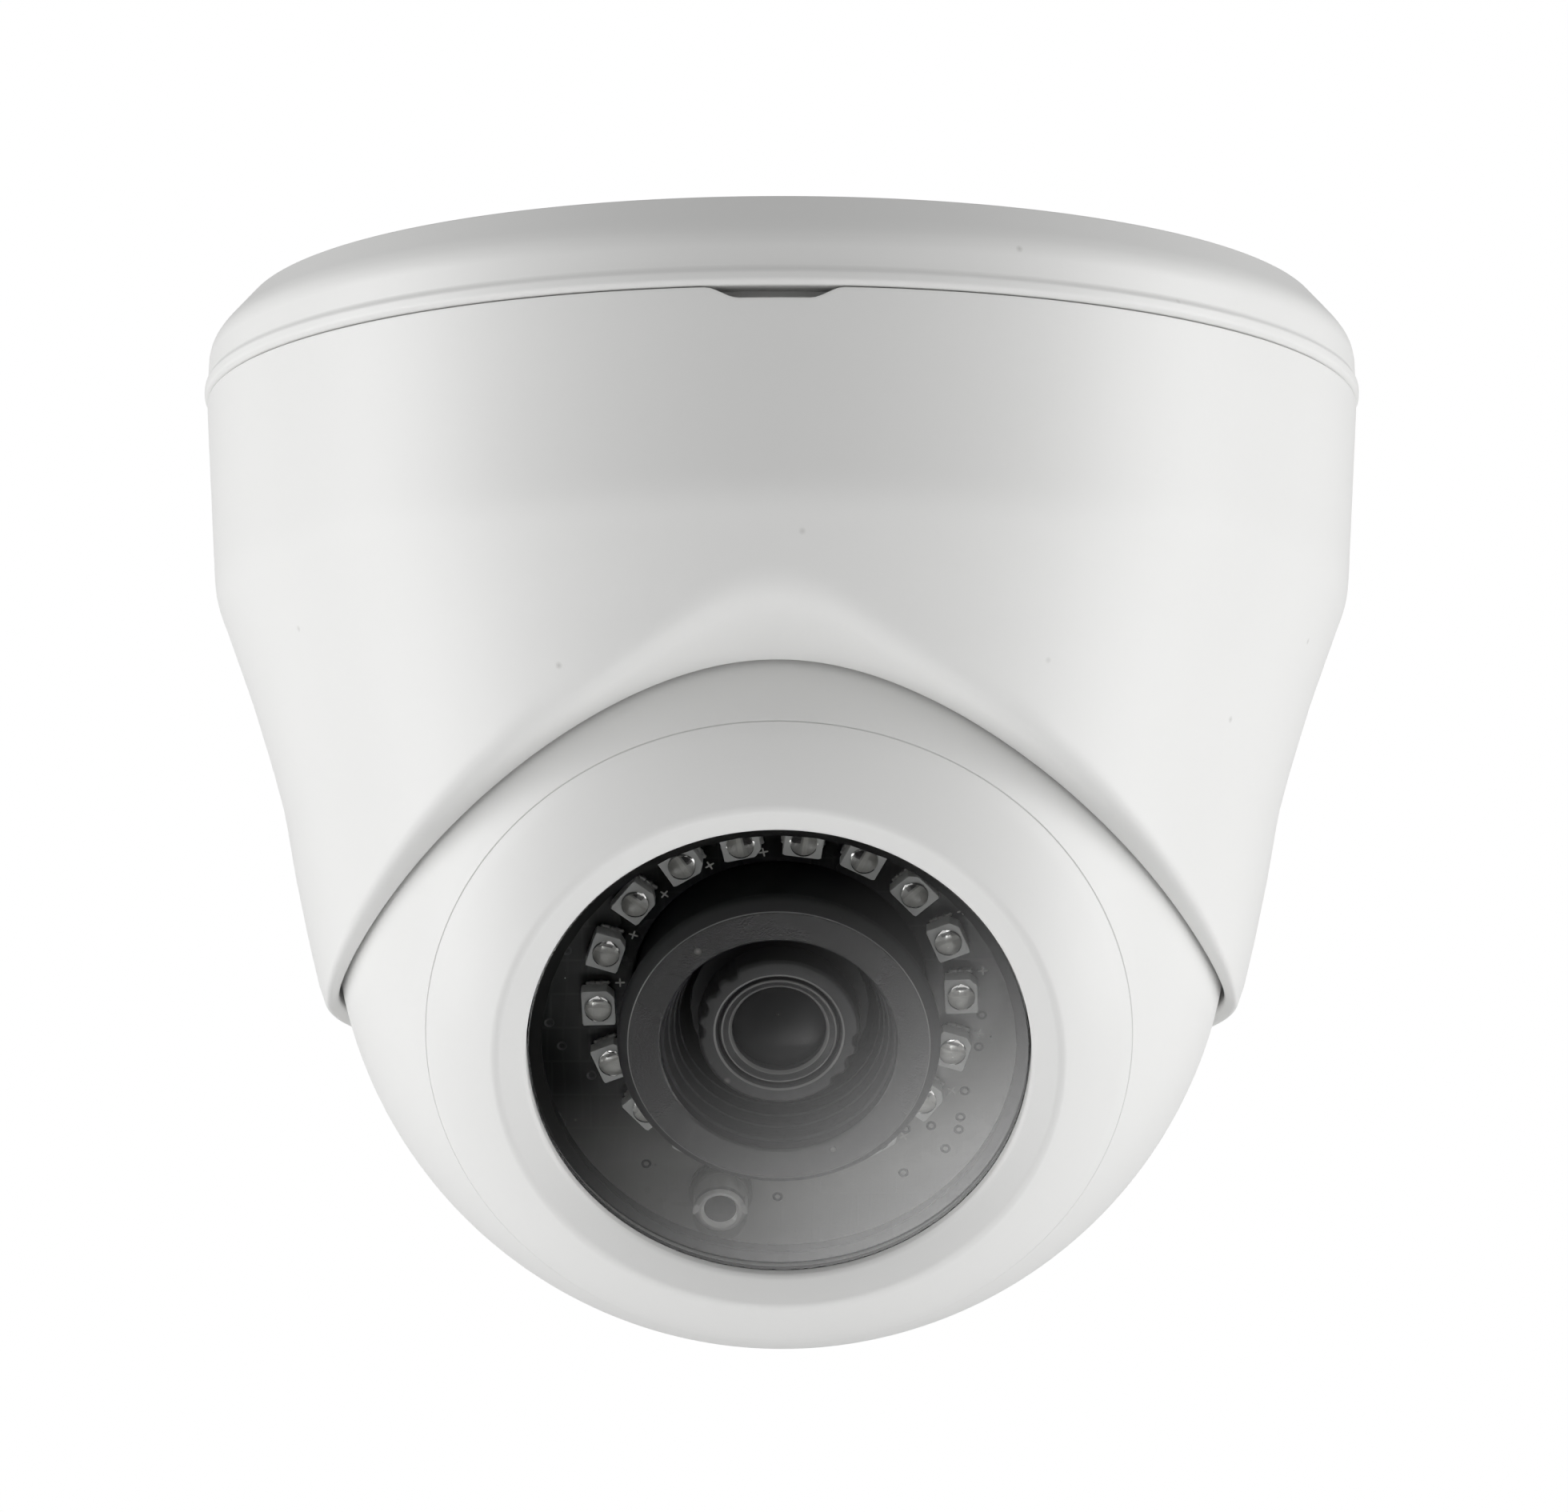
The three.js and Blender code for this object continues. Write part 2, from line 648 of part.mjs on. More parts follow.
// The two strings of emitters share one direction, so the right half of the ring is turned end for end.
for (let i = 0; i < LED_COUNT; i += 1) {
  const deg = LED_FIRST_DEG + 360 / LED_COUNT * i;
  const [x, y] = clock(LED_RING_R, deg);
  const name = `ir_led_${String(i + 1).padStart(2, '0')}`;
  const mesh = place(ball, name, led(), ledBody(), x, y, LED_BOARD_FRONT + GAP);
  const turned = deg < 180 ? 180 : 0;
  mesh.rotation.z = rad(turned - deg);
}
place(ball, 'photocell', photocell(), material(0xc9ccce, 0.1), PHOTOCELL_X, PHOTOCELL_Y, LED_BOARD_FRONT + GAP);
LED_SCREW_DEGS.forEach((deg, i) => {
  const [x, y] = clock(LED_SCREW_R, deg);
  const headTop = LED_BOARD_FRONT + GAP + SCREW_HEAD_H;
  place(ball, `led_board_screw_${i + 1}`, screw(headTop, 1, BRACKET_BACK + BRACKET_T + 1.2), screwSteel(), x, y, 0);
});

// ---------------------------------------------------------------- hood
function lensHood() {
  const back = BRACKET_BACK + BRACKET_T + GAP;
  const points = [
    v2(HOOD_BORE_R, back),
    v2(HOOD_STEM_R, back),
    v2(HOOD_STEM_R, HOOD_FRONT - 1.9),
    v2(HOOD_R, HOOD_FRONT - 1.6),
    v2(HOOD_R, HOOD_FRONT - 0.7),
    v2(HOOD_R - 0.65, HOOD_FRONT),
    v2(HOOD_MOUTH_R + 0.15, HOOD_FRONT),
    v2(HOOD_MOUTH_R, HOOD_FRONT - 0.2),
  ];
  const steps = 3;
  const stepH = 1.6;
  const stepR = (HOOD_MOUTH_R - HOOD_BORE_R) / (steps + 1);
  for (let i = 0; i < steps; i += 1) {
    const d = HOOD_FRONT - 0.2 - stepH * (i + 1);
    points.push(v2(HOOD_MOUTH_R - stepR * i, d));
    points.push(v2(HOOD_MOUTH_R - stepR * (i + 1), d));
  }
  points.push(v2(HOOD_BORE_R, points.at(-1).y - stepH));
  points.push(points[0].clone());
  return revolve(points, 40);
}
place(ball, 'lens_hood', lensHood(), blackPlastic());

// ---------------------------------------------------------------- lens
function lensBarrel() {
  const headBack = LENS_FRONT - LENS_HEAD_H;
  const body = revolve([
    v2(0, LENS_BACK + 2),
    v2(3.6, LENS_BACK + 2),
    v2(3.6, LENS_BACK),
    v2(LENS_THREAD_R - 0.4, LENS_BACK),
    v2(LENS_THREAD_R, LENS_BACK + 0.4),
    v2(LENS_THREAD_R, headBack),
    v2(LENS_HEAD_R, headBack),
    v2(LENS_HEAD_R, LENS_FRONT - 0.3),
    v2(LENS_HEAD_R - 0.3, LENS_FRONT),
    v2(5.55, LENS_FRONT),
    v2(5.55, LENS_FRONT - 1.2),
    v2(4.3, LENS_FRONT - 1.2),
    v2(4.3, LENS_FRONT - 2.6),
    v2(0, LENS_FRONT - 2.6),
  ], 28);
  const notches = LENS_NOTCH_DEGS.map((deg) => {
    const [x, y] = clock(LENS_HEAD_R + 0.45, deg);
    return cylinder(0.8, LENS_FRONT - 1.4, LENS_FRONT + 1, x, y, 8);
  });
  return cut(body, ...notches);
}

function lensFrontRing() {
  const front = LENS_FRONT - 0.25;
  return revolve([
    v2(4.45, front - 0.65),
    v2(5.2, front - 0.65),
    v2(5.2, front),
    v2(4.85, front),
    v2(4.45, front - 0.35),
    v2(4.45, front - 0.65),
  ], 24);
}

function lensFrontGlass() {
  const r = 4.0;
  const back = LENS_FRONT - 2.3;
  const edge = back + 0.5;
  const rise = 0.75;
  const points = [v2(0, back), v2(r, back), v2(r, edge)];
  const steps = 3;
  for (let i = 1; i < steps; i += 1) {
    const t = i / steps;
    points.push(v2(r * (1 - t), edge + rise * (1 - (1 - t) ** 2)));
  }
  points.push(v2(0, edge + rise));
  return revolve(points, 24);
}

place(ball, 'lens_barrel', lensBarrel(), lensMetal());
place(ball, 'lens_front_ring', lensFrontRing(), lensMetal());
place(ball, 'lens_front_glass', lensFrontGlass(), opticalGlass());

// ---------------------------------------------------------------- lens mount and day and night filter
const MOUNT_BACK = MAIN_BOARD_FRONT + GAP;
const MOUNT_SCREWS = [[11, 7.2], [-11, -7.2]];

function lensMount() {
  const bore = LENS_THREAD_R + GAP;
  const slotX = SLIDER_X + FILTER_TRAVEL + 0.8;
  const block = box(MOUNT_X, MOUNT_Y, MOUNT_BACK, MOUNT_FRONT);
  const tube = cylinder(MOUNT_TUBE_R, MOUNT_FRONT - 1, MOUNT_TUBE_FRONT, 0, 0, 24);
  const holes = MOUNT_SCREWS.map(([x, y]) => cylinder(SCREW_HOLE_R, MOUNT_BACK - 1, MOUNT_BACK + 5, x, y, 12));
  return cut(
    join(block, tube),
    cylinder(bore, SLOT_FRONT - 0.5, MOUNT_TUBE_FRONT + 1, 0, 0, 24),
    box(slotX, SLIDER_Y + 0.8, SLOT_BACK, SLOT_FRONT),
    box(11.6, 11.6, MOUNT_BACK - 1, SLOT_BACK - 0.8),
    box(7, 7, SLOT_BACK - 1.5, SLOT_BACK + 0.5),
    ...holes,
  );
}

const SLIDER_CENTRE = (SLOT_FRONT + SLOT_BACK) / 2;

function filterSlider() {
  const z0 = SLIDER_CENTRE - SLIDER_T / 2;
  const z1 = SLIDER_CENTRE + SLIDER_T / 2;
  const hole = FILTER_PANE + 2 * GAP;
  return cut(
    box(SLIDER_X, SLIDER_Y, z0, z1, FILTER_TRAVEL / 2, 0),
    box(hole, hole, z0 - 1, z1 + 1, 0, 0),
    box(hole, hole, z0 - 1, z1 + 1, FILTER_TRAVEL, 0),
  );
}

const pane = (x) => box(FILTER_PANE, FILTER_PANE, SLIDER_CENTRE - 0.3, SLIDER_CENTRE + 0.3, x, 0);

place(ball, 'lens_mount', lensMount(), blackPlastic());
place(ball, 'filter_slider', filterSlider(), blackPlastic());
place(ball, 'infrared_cut_filter', pane(0), material(0x5a2f3c, 0.1));
place(ball, 'clear_filter', pane(FILTER_TRAVEL), material(0xcfd6da, 0.1));
place(ball, 'filter_coil', box(10, 4.6, 3, 8, 0, MOUNT_Y / 2 + GAP + 2.3), material(0x9a5a2a, 0.4, 0.6));
MOUNT_SCREWS.forEach(([x, y], i) => {
  const headTop = MAIN_BOARD_FRONT - MAIN_BOARD_T - GAP - SCREW_HEAD_H;
  place(ball, `lens_mount_screw_${i + 1}`, screw(headTop, -1, MOUNT_BACK + 4.2), screwSteel(), x, y, 0);
});

// ---------------------------------------------------------------- main board
const MAIN_BOARD_BACK = MAIN_BOARD_FRONT - MAIN_BOARD_T;
const MAIN_SCREWS = [[1, 1], [1, -1], [-1, -1], [-1, 1]].map(([sx, sy]) => [sx * MAIN_POST, sy * MAIN_POST]);

function mainBoard() {
  const board = box(MAIN_BOARD_SIZE, MAIN_BOARD_SIZE, MAIN_BOARD_BACK, MAIN_BOARD_FRONT);
  const holes = [...MAIN_SCREWS, ...MOUNT_SCREWS].map(([x, y]) =>
    cylinder(SCREW_HOLE_R, MAIN_BOARD_BACK - 1, MAIN_BOARD_FRONT + 1, x, y, 8));
  return cut(board, ...holes);
}

function moduleBracket() {
  const front = BRACKET_BACK + BRACKET_T;
  const ring = ringOf(BRACKET_HOLE_R, BRACKET_R, BRACKET_BACK, front, 40);
  const frontPosts = LED_SCREW_DEGS.map((deg) => {
    const [x, y] = clock(LED_SCREW_R, deg);
    return cylinder(POST_R, BRACKET_BACK + 0.5, LED_BOARD_BACK - GAP, x, y, 10);
  });
  const backPosts = MAIN_SCREWS.map(([x, y]) =>
    cylinder(POST_R, MAIN_BOARD_FRONT + GAP, BRACKET_BACK + 0.5, x, y, 10));
  const holes = [];
  LED_SCREW_DEGS.forEach((deg) => {
    const [x, y] = clock(LED_SCREW_R, deg);
    holes.push(cylinder(SCREW_HOLE_R, front + 0.6, LED_BOARD_BACK, x, y, 8));
  });
  MAIN_SCREWS.forEach(([x, y]) => holes.push(cylinder(SCREW_HOLE_R, MAIN_BOARD_FRONT, BRACKET_BACK, x, y, 8)));
  BRACKET_SCREW_DEGS.forEach((deg) => {
    const [x, y] = clock(BRACKET_SCREW_R, deg);
    holes.push(cylinder(SCREW_HOLE_R, BRACKET_BACK - 1, front + 1, x, y, 8));
  });
  return cut(join(ring, ...frontPosts, ...backPosts), ...holes);
}

place(ball, 'module_bracket', moduleBracket(), blackPlastic());
BRACKET_SCREW_DEGS.forEach((deg, i) => {
  const [x, y] = clock(BRACKET_SCREW_R, deg);
  const headTop = BRACKET_BACK + BRACKET_T + GAP + SCREW_HEAD_H;
  place(ball, `bracket_screw_${i + 1}`, screw(headTop, 1, BRACKET_BACK - 6.4), screwSteel(), x, y, 0);
});
place(ball, 'main_board', mainBoard(), boardGreen());
MAIN_SCREWS.forEach(([x, y], i) => {
  const headTop = MAIN_BOARD_BACK - GAP - SCREW_HEAD_H;
  place(ball, `main_board_screw_${i + 1}`, screw(headTop, -1, MAIN_BOARD_FRONT + 5), screwSteel(), x, y, 0);
});
place(ball, 'image_sensor', box(10, 10, MAIN_BOARD_FRONT + GAP, MAIN_BOARD_FRONT + GAP + 1.1), chipBlack());
place(ball, 'image_processor', box(12, 12, MAIN_BOARD_BACK - GAP - 1.2, MAIN_BOARD_BACK - GAP), chipBlack());
const header = box(12, 4.5, MAIN_BOARD_BACK - GAP - 5, MAIN_BOARD_BACK - GAP, 0, -14);
place(ball, 'board_connector', header, material(0xe6e2d6, 0.5));

export default root;
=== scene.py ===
"""Looks of an eyeball dome camera that hangs from a ceiling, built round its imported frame.

Sizes are in millimetres inside the shape functions and in metres in the meshes.
Ball pieces are worked out about the optical axis: x across, y up the face, d along the view.
"""
import json

import bpy
import numpy as np
from bpy.props import FloatProperty, FloatVectorProperty, PointerProperty
from bpy.types import Operator, Panel, PropertyGroup
from mathutils import Vector
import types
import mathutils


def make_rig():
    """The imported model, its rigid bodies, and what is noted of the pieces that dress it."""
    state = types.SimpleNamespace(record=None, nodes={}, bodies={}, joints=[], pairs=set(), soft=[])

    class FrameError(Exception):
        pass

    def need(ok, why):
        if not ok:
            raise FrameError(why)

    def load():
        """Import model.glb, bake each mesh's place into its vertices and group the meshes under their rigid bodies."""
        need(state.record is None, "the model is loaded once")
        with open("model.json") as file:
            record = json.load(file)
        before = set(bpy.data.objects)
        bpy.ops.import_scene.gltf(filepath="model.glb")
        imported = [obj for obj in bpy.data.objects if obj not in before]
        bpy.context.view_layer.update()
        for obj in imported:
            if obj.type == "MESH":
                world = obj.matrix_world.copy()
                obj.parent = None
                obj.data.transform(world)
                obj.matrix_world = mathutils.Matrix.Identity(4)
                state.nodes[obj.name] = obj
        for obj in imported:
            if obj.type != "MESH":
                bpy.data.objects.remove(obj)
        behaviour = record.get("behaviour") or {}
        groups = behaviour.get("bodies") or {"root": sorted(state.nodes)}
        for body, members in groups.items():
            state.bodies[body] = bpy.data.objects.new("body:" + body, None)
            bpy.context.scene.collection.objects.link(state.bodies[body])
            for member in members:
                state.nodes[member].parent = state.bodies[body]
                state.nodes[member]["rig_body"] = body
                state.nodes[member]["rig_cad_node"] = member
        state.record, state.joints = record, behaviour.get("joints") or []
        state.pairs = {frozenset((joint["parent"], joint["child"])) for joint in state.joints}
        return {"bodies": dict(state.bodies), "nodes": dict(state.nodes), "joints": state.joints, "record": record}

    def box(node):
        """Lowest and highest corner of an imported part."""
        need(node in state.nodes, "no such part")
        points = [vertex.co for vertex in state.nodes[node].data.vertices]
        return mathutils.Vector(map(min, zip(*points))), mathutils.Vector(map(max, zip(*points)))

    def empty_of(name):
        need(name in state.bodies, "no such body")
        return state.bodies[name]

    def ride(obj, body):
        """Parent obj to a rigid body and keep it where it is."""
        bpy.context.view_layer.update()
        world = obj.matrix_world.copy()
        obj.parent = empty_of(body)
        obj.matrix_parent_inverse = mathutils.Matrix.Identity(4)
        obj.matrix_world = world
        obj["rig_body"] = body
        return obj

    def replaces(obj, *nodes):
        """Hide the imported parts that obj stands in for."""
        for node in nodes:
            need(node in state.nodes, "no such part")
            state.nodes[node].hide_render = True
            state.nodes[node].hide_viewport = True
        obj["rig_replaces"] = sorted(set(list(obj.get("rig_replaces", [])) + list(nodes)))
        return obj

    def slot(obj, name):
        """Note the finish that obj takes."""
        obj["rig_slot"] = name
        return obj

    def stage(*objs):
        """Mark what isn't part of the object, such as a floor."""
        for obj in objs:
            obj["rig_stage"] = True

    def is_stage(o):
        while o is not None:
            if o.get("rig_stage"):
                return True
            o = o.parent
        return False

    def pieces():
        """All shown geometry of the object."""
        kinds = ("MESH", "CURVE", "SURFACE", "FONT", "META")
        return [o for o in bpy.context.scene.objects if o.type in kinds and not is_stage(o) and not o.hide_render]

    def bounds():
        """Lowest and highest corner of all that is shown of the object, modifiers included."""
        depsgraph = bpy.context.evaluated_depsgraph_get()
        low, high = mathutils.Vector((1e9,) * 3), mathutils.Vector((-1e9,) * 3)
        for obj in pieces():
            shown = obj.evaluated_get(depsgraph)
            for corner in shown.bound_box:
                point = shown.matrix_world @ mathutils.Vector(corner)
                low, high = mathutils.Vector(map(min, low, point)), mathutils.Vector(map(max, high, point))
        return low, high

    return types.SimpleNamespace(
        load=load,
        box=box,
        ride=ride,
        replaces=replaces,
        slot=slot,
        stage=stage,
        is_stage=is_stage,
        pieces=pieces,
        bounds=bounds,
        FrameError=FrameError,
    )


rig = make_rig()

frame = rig.load()
CAD_BOX = [list(corner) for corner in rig.bounds()]

bl_info = {
    "name": "Ceiling Dome Camera",
    "version": (1, 0, 0),
    "blender": (4, 5, 0),
    "location": "View3D > Sidebar > Dome Camera",
    "description": "Builds the visible pieces of a ceiling dome camera round its frame",
    "category": "Object",
}

MM = 0.001
TILT = next(j for j in frame["joints"] if j["name"] == "tilt")
FOCUS = next(j for j in frame["joints"] if j["name"] == "focus")
BALL_CENTRE = np.array(TILT["pos_m"]) / MM
SIGHT = np.array(FOCUS["axis"]) / np.linalg.norm(FOCUS["axis"])
ACROSS = np.array([1.0, 0.0, 0.0])
FACE_UP = np.cross(SIGHT, ACROSS)
HANGING = (np.zeros(3), ACROSS, np.array([0.0, 1.0, 0.0]), np.array([0.0, 0.0, 1.0]))
LOOKING = (BALL_CENTRE, ACROSS, FACE_UP, SIGHT)
LED_NODES = sorted(n for n in frame["nodes"] if n.startswith("ir_led_") and n != "ir_led_board")
CAMERA_PLACE = (0.0123, -1.0094, -0.2194)
CAMERA_TARGET = (0.0002, 0.0, -0.0414)


# ------------------------------------------------------------------ sizes and colours
def length(name, millimetres, description):
    """A length property in metres whose default is given in millimetres."""
    return FloatProperty(name=name, description=description, default=millimetres * MM, unit="LENGTH", precision=5)


def power(name, watts, description):
    """A property for the power of a light."""
    return FloatProperty(name=name, description=description, default=watts, min=0, unit="POWER")


def colour(name, rgb, description):
    """A colour property."""
    return FloatVectorProperty(name=name, description=description, default=rgb, subtype="COLOR", min=0, max=1)


class HousingSizes(PropertyGroup):
    """Sizes of the base, the cover and the ball."""

    base_radius: length("Base radius", 52.66, "Radius of the base's straight band")
    cover_wall: length("Cover wall", 2.2, "Wall thickness of the cover")
    ball_radius: length("Ball radius", 40.9, "Radius of the ball")
    ball_wall: length("Ball wall", 2.3, "Wall thickness of the ball")
    parting_radius: length("Parting radius", 31.6, "Radius of the line where the bezel meets the ball")
    bevel_radius: length("Bevel radius", 25.5, "Outer radius of the bevel round the window")
    notch_width: length("Notch width", 6.2, "Flat width of the opening notch in the seam")
    notch_depth: length("Notch depth", 1.0, "Depth of the opening notch")


class OpticsSizes(PropertyGroup):
    """Sizes of the window, the emitters, the hood and the lens."""

    window_radius: length("Window radius", 22.36, "Radius of the clear window")
    window_front: length("Window front", 29.0, "Distance of the window's face from the ball's centre")
    board_front: length("Board front", 17.6, "Distance of the emitter board's face from the ball's centre")
    led_ring: length("LED ring radius", 16.3, "Radius of the circle that the emitters stand on")
    led_long: length("LED length", 3.5, "Size of an emitter along the ring")
    led_short: length("LED width", 3.0, "Size of an emitter across the ring")
    led_height: length("LED height", 1.4, "Height of an emitter's body")
    led_first: FloatProperty(
        name="First LED", description="Clock angle of the first emitter", default=np.radians(8), subtype="ANGLE")
    hood_radius: length("Hood radius", 14.45, "Outer radius of the hood's front")
    hood_front: length("Hood front", 27.5, "Distance of the hood's face from the ball's centre")
    hood_mouth: length("Hood mouth", 10.55, "Radius of the hood's mouth")
    lens_radius: length("Lens radius", 7.25, "Radius of the lens's finger flange")
    lens_front: length("Lens front", 25.0, "Distance of the lens's face from the ball's centre")


class FinishColours(PropertyGroup):
    """Colours of the finishes."""

    plastic: colour("Housing plastic", (0.80, 0.80, 0.79), "Satin white plastic of the base, cover and ball")
    hood: colour("Hood plastic", (0.028, 0.028, 0.029), "Black plastic of the lens hood")
    board: colour("Emitter board", (0.016, 0.016, 0.0165), "Black solder mask of the emitter board")
    led_body: colour("LED body", (0.70, 0.71, 0.70), "Pale resin of the emitters' bodies")
    lens: colour("Lens barrel", (0.028, 0.028, 0.029), "Black anodised metal of the lens")
    green_board: colour("Main board", (0.012, 0.06, 0.022), "Green solder mask of the main board")


class StudioSettings(PropertyGroup):
    """Camera and light."""

    side_power: power("Side lights", 8.5, "Power of each side light")
    flank_power: power("Flank lights", 1.6, "Power of each wide light beside and behind")
    lower_power: power("Lower lights", 1.7, "Power of each light low at the sides")
    fill: FloatProperty(name="Fill", description="Brightness of the surroundings as a light", default=0.35, min=0)
    floor_drop: length("Floor drop", 900.0, "Height of the ceiling face above the floor")
    lens_length: FloatProperty(
        name="Focal length", description="Focal length of the camera in millimetres", default=257.1, min=1)


# ------------------------------------------------------------------ shapes
def bend(start, corner, end, t):
    """The point at t of the quadratic curve from start to end that is drawn towards the corner."""
    return (1 - t) ** 2 * start + 2 * t * (1 - t) * corner + t**2 * end


def soften(points, radius, steps=5):
    """Each corner of a path becomes a quadratic curve that leaves the edges `radius` from the corner.

    The run-in is at most 0.45 of the shorter edge. The path may have leading dimensions, and
    its corner lists lie along the second-last one. The first and last points stay.
    """
    points = np.asarray(points, float)
    reach = np.broadcast_to(np.asarray(radius, float), points.shape[:-1])
    corner = points[..., 1:-1, :]
    back = points[..., :-2, :] - corner
    ahead = points[..., 2:, :] - corner
    back_len = np.linalg.norm(back, axis=-1, keepdims=True).clip(1e-9)
    ahead_len = np.linalg.norm(ahead, axis=-1, keepdims=True).clip(1e-9)
    run = np.minimum(reach[..., 1:-1, None], 0.45 * np.minimum(back_len, ahead_len))
    start = corner + back / back_len * run
    end = corner + ahead / ahead_len * run
    t = np.linspace(0, 1, steps)[:, None]
    curve = bend(start[..., None, :], corner[..., None, :], end[..., None, :], t)
    curve = curve.reshape(*points.shape[:-2], -1, points.shape[-1])
    return np.concatenate([points[..., :1, :], curve, points[..., -1:, :]], axis=-2)


def arc(centre_r, centre_d, radius, start, end, steps):
    """Points on a circle about (centre_r, centre_d), with angles measured from the axis."""
    a = np.radians(np.linspace(start, end, steps))
    return np.stack([centre_r + radius * np.sin(a), centre_d + radius * np.cos(a)], axis=-1)


def outward(points, faces):
    """Groups of faces, all reversed when the volume that they close in is negative."""
    halves = [f[:, pick] for f in faces for pick in ([0, 1, 2], [0, 2, 3])[: f.shape[1] - 2]]
    a, b, c = np.moveaxis(points[np.concatenate(halves)] - points.mean(0), 1, 0)
    volume = np.einsum("ij,ij->i", a, np.cross(b, c)).sum()
    return [f[:, ::-1] for f in faces] if volume < 0 else faces


def new_mesh(name, points, faces, *materials):
    """A mesh in metres from points in millimetres and groups of faces."""
    mesh = bpy.data.meshes.new(name)
    mesh.from_pydata((points * MM).tolist(), [], [row for f in faces for row in f.tolist()])
    for material in materials:
        mesh.materials.append(material)
    return mesh


def placed_object(name, data):
    """An object in the scene's own collection."""
    obj = bpy.data.objects.new(name, data)
    bpy.context.scene.collection.objects.link(obj)
    return obj


def make_object(name, shape, materials, body, nodes=(), slot=None, numbers=None, crease=32):
    """A piece that is smooth except at edges sharper than `crease` degrees.

    `shape` starts with points, local places and groups of faces, `materials` is one material or
    a list with a number for each face, and the places are stored for the patterns to follow.
    """
    points, place, faces = shape[:3]
    materials = materials if isinstance(materials, list) else [materials]
    mesh = new_mesh(name, points, outward(points, faces), *materials)
    mesh.polygons.foreach_set("use_smooth", np.ones(len(mesh.polygons), bool))
    if numbers is not None:
        mesh.polygons.foreach_set("material_index", np.asarray(numbers, np.int32))
    mesh.set_sharp_from_angle(angle=np.radians(crease))
    layer = mesh.attributes.new("place", "FLOAT_VECTOR", "POINT")
    layer.data.foreach_set("vector", np.asarray(place, np.float32).ravel())
    mesh.update()
    obj = placed_object(name, mesh)
    weighted = obj.modifiers.new("Even shading", "WEIGHTED_NORMAL")
    weighted.keep_sharp = True
    weighted.weight = 100
    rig.ride(obj, body)
    if nodes:
        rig.replaces(obj, *nodes)
    if slot:
        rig.slot(obj, slot)


def ring_faces(rows, count, closed_rows):
    """Faces between neighbouring rings of a turned shape, where a row of one point is a pole."""
    sizes = np.where(rows, 1, count)
    first = np.concatenate([[0], np.cumsum(sizes)[:-1]])
    k = np.arange(count)
    after = (k + 1) % count
    quads, tris, quad_rows, tri_rows = [], [], [], []
    last = len(rows) if closed_rows else len(rows) - 1
    for i in range(last):
        j = (i + 1) % len(rows)
        if rows[i] and rows[j]:
            continue
        if rows[i]:
            tris.append(np.stack([np.full(count, first[i]), first[j] + k, first[j] + after], -1))
        elif rows[j]:
            tris.append(np.stack([first[i] + after, first[i] + k, np.full(count, first[j])], -1))
        else:
            quads.append(np.stack([first[i] + after, first[i] + k, first[j] + k, first[j] + after], -1))
        (tri_rows if rows[i] or rows[j] else quad_rows).append(i)
    faces = [np.concatenate(group) for group in (quads, tris) if group]
    return faces, np.repeat(quad_rows + tri_rows, count)


def turned(profile, count, where, centre=(0.0, 0.0), closed=True, outline=None):
    """A profile of (r, d) points turned about an axis: point = centre + r(cos, sin) + d along the axis.

    `outline` is a factor on r for each angle and profile point. Repeated profile points are
    dropped, and a point on the axis becomes a pole. Returns points, their local places, faces
    and each face's profile row.
    """
    profile = np.asarray(profile, float)
    keep = np.linalg.norm(profile - np.roll(profile, 1, 0), axis=1) > 1e-6
    keep[0] = True
    if closed and np.linalg.norm(profile[0] - profile[-1]) < 1e-6:
        keep[-1] = False
    profile = profile[keep]
    angle = 2 * np.pi * np.arange(count) / count
    r = np.repeat(profile[:, :1], count, axis=1)
    if outline is not None:
        r = r * outline(angle, profile)
    local = np.stack([
        centre[0] + r * np.cos(angle),
        centre[1] + r * np.sin(angle),
        np.repeat(profile[:, 1:], count, axis=1),
    ], axis=-1)
    pole = profile[:, 0] < 1e-6
    picked = np.ones((len(profile), count), bool)
    picked[pole, 1:] = False
    local = local[picked]
    faces, rows = ring_faces(pole, count, closed)
    return to_frame(local, where), local, faces, rows


def turn_object(name, profile, count, material, nodes, slot, centre=(0.0, 0.0)):
    """A piece of the ball turned about the sight, or about a line beside it."""
    make_object(name, turned(profile, count, LOOKING, centre=centre), material, "ball", nodes, slot)


def to_frame(local, where):
    """Local (x, y, d) points carried to the frame by an origin and three directions."""
    origin, across, up, along = where
    return origin + local[:, :1] * across + local[:, 1:2] * up + local[:, 2:] * along


def looped(grid):
    """Faces of a grid of points that closes on itself in both directions."""
    rows, columns = grid
    i, j = np.meshgrid(np.arange(rows), np.arange(columns), indexing="ij")
    corner = lambda a, b: (a % rows) * columns + b % columns
    return np.stack([corner(i, j), corner(i + 1, j), corner(i + 1, j + 1), corner(i, j + 1)], -1).reshape(-1, 4)


def joined(parts):
    """Several (points, local places, faces, material number) shapes as one, each with its faces outwards."""
    verts, places, quads, tris, quad_mats, tri_mats = [], [], [], [], [], []
    offset = 0
    for points, local, faces, number in parts:
        verts.append(points)
        places.append(local)
        for f in outward(points, faces):
            (quads if f.shape[1] == 4 else tris).append(f + offset)
            (quad_mats if f.shape[1] == 4 else tri_mats).append(np.full(len(f), number))
        offset += len(points)
    groups = [np.concatenate(g) for g in (quads, tris) if g]
    numbers = np.concatenate([np.concatenate(g) for g in (quad_mats, tri_mats) if g])
    return np.concatenate(verts), np.concatenate(places), groups, numbers


def clock(radius, degrees):
    """(x, y) on the ball's face at a clock angle, 0 at the top."""
    a = np.radians(degrees)
    return np.array([radius * np.sin(a), radius * np.cos(a)])


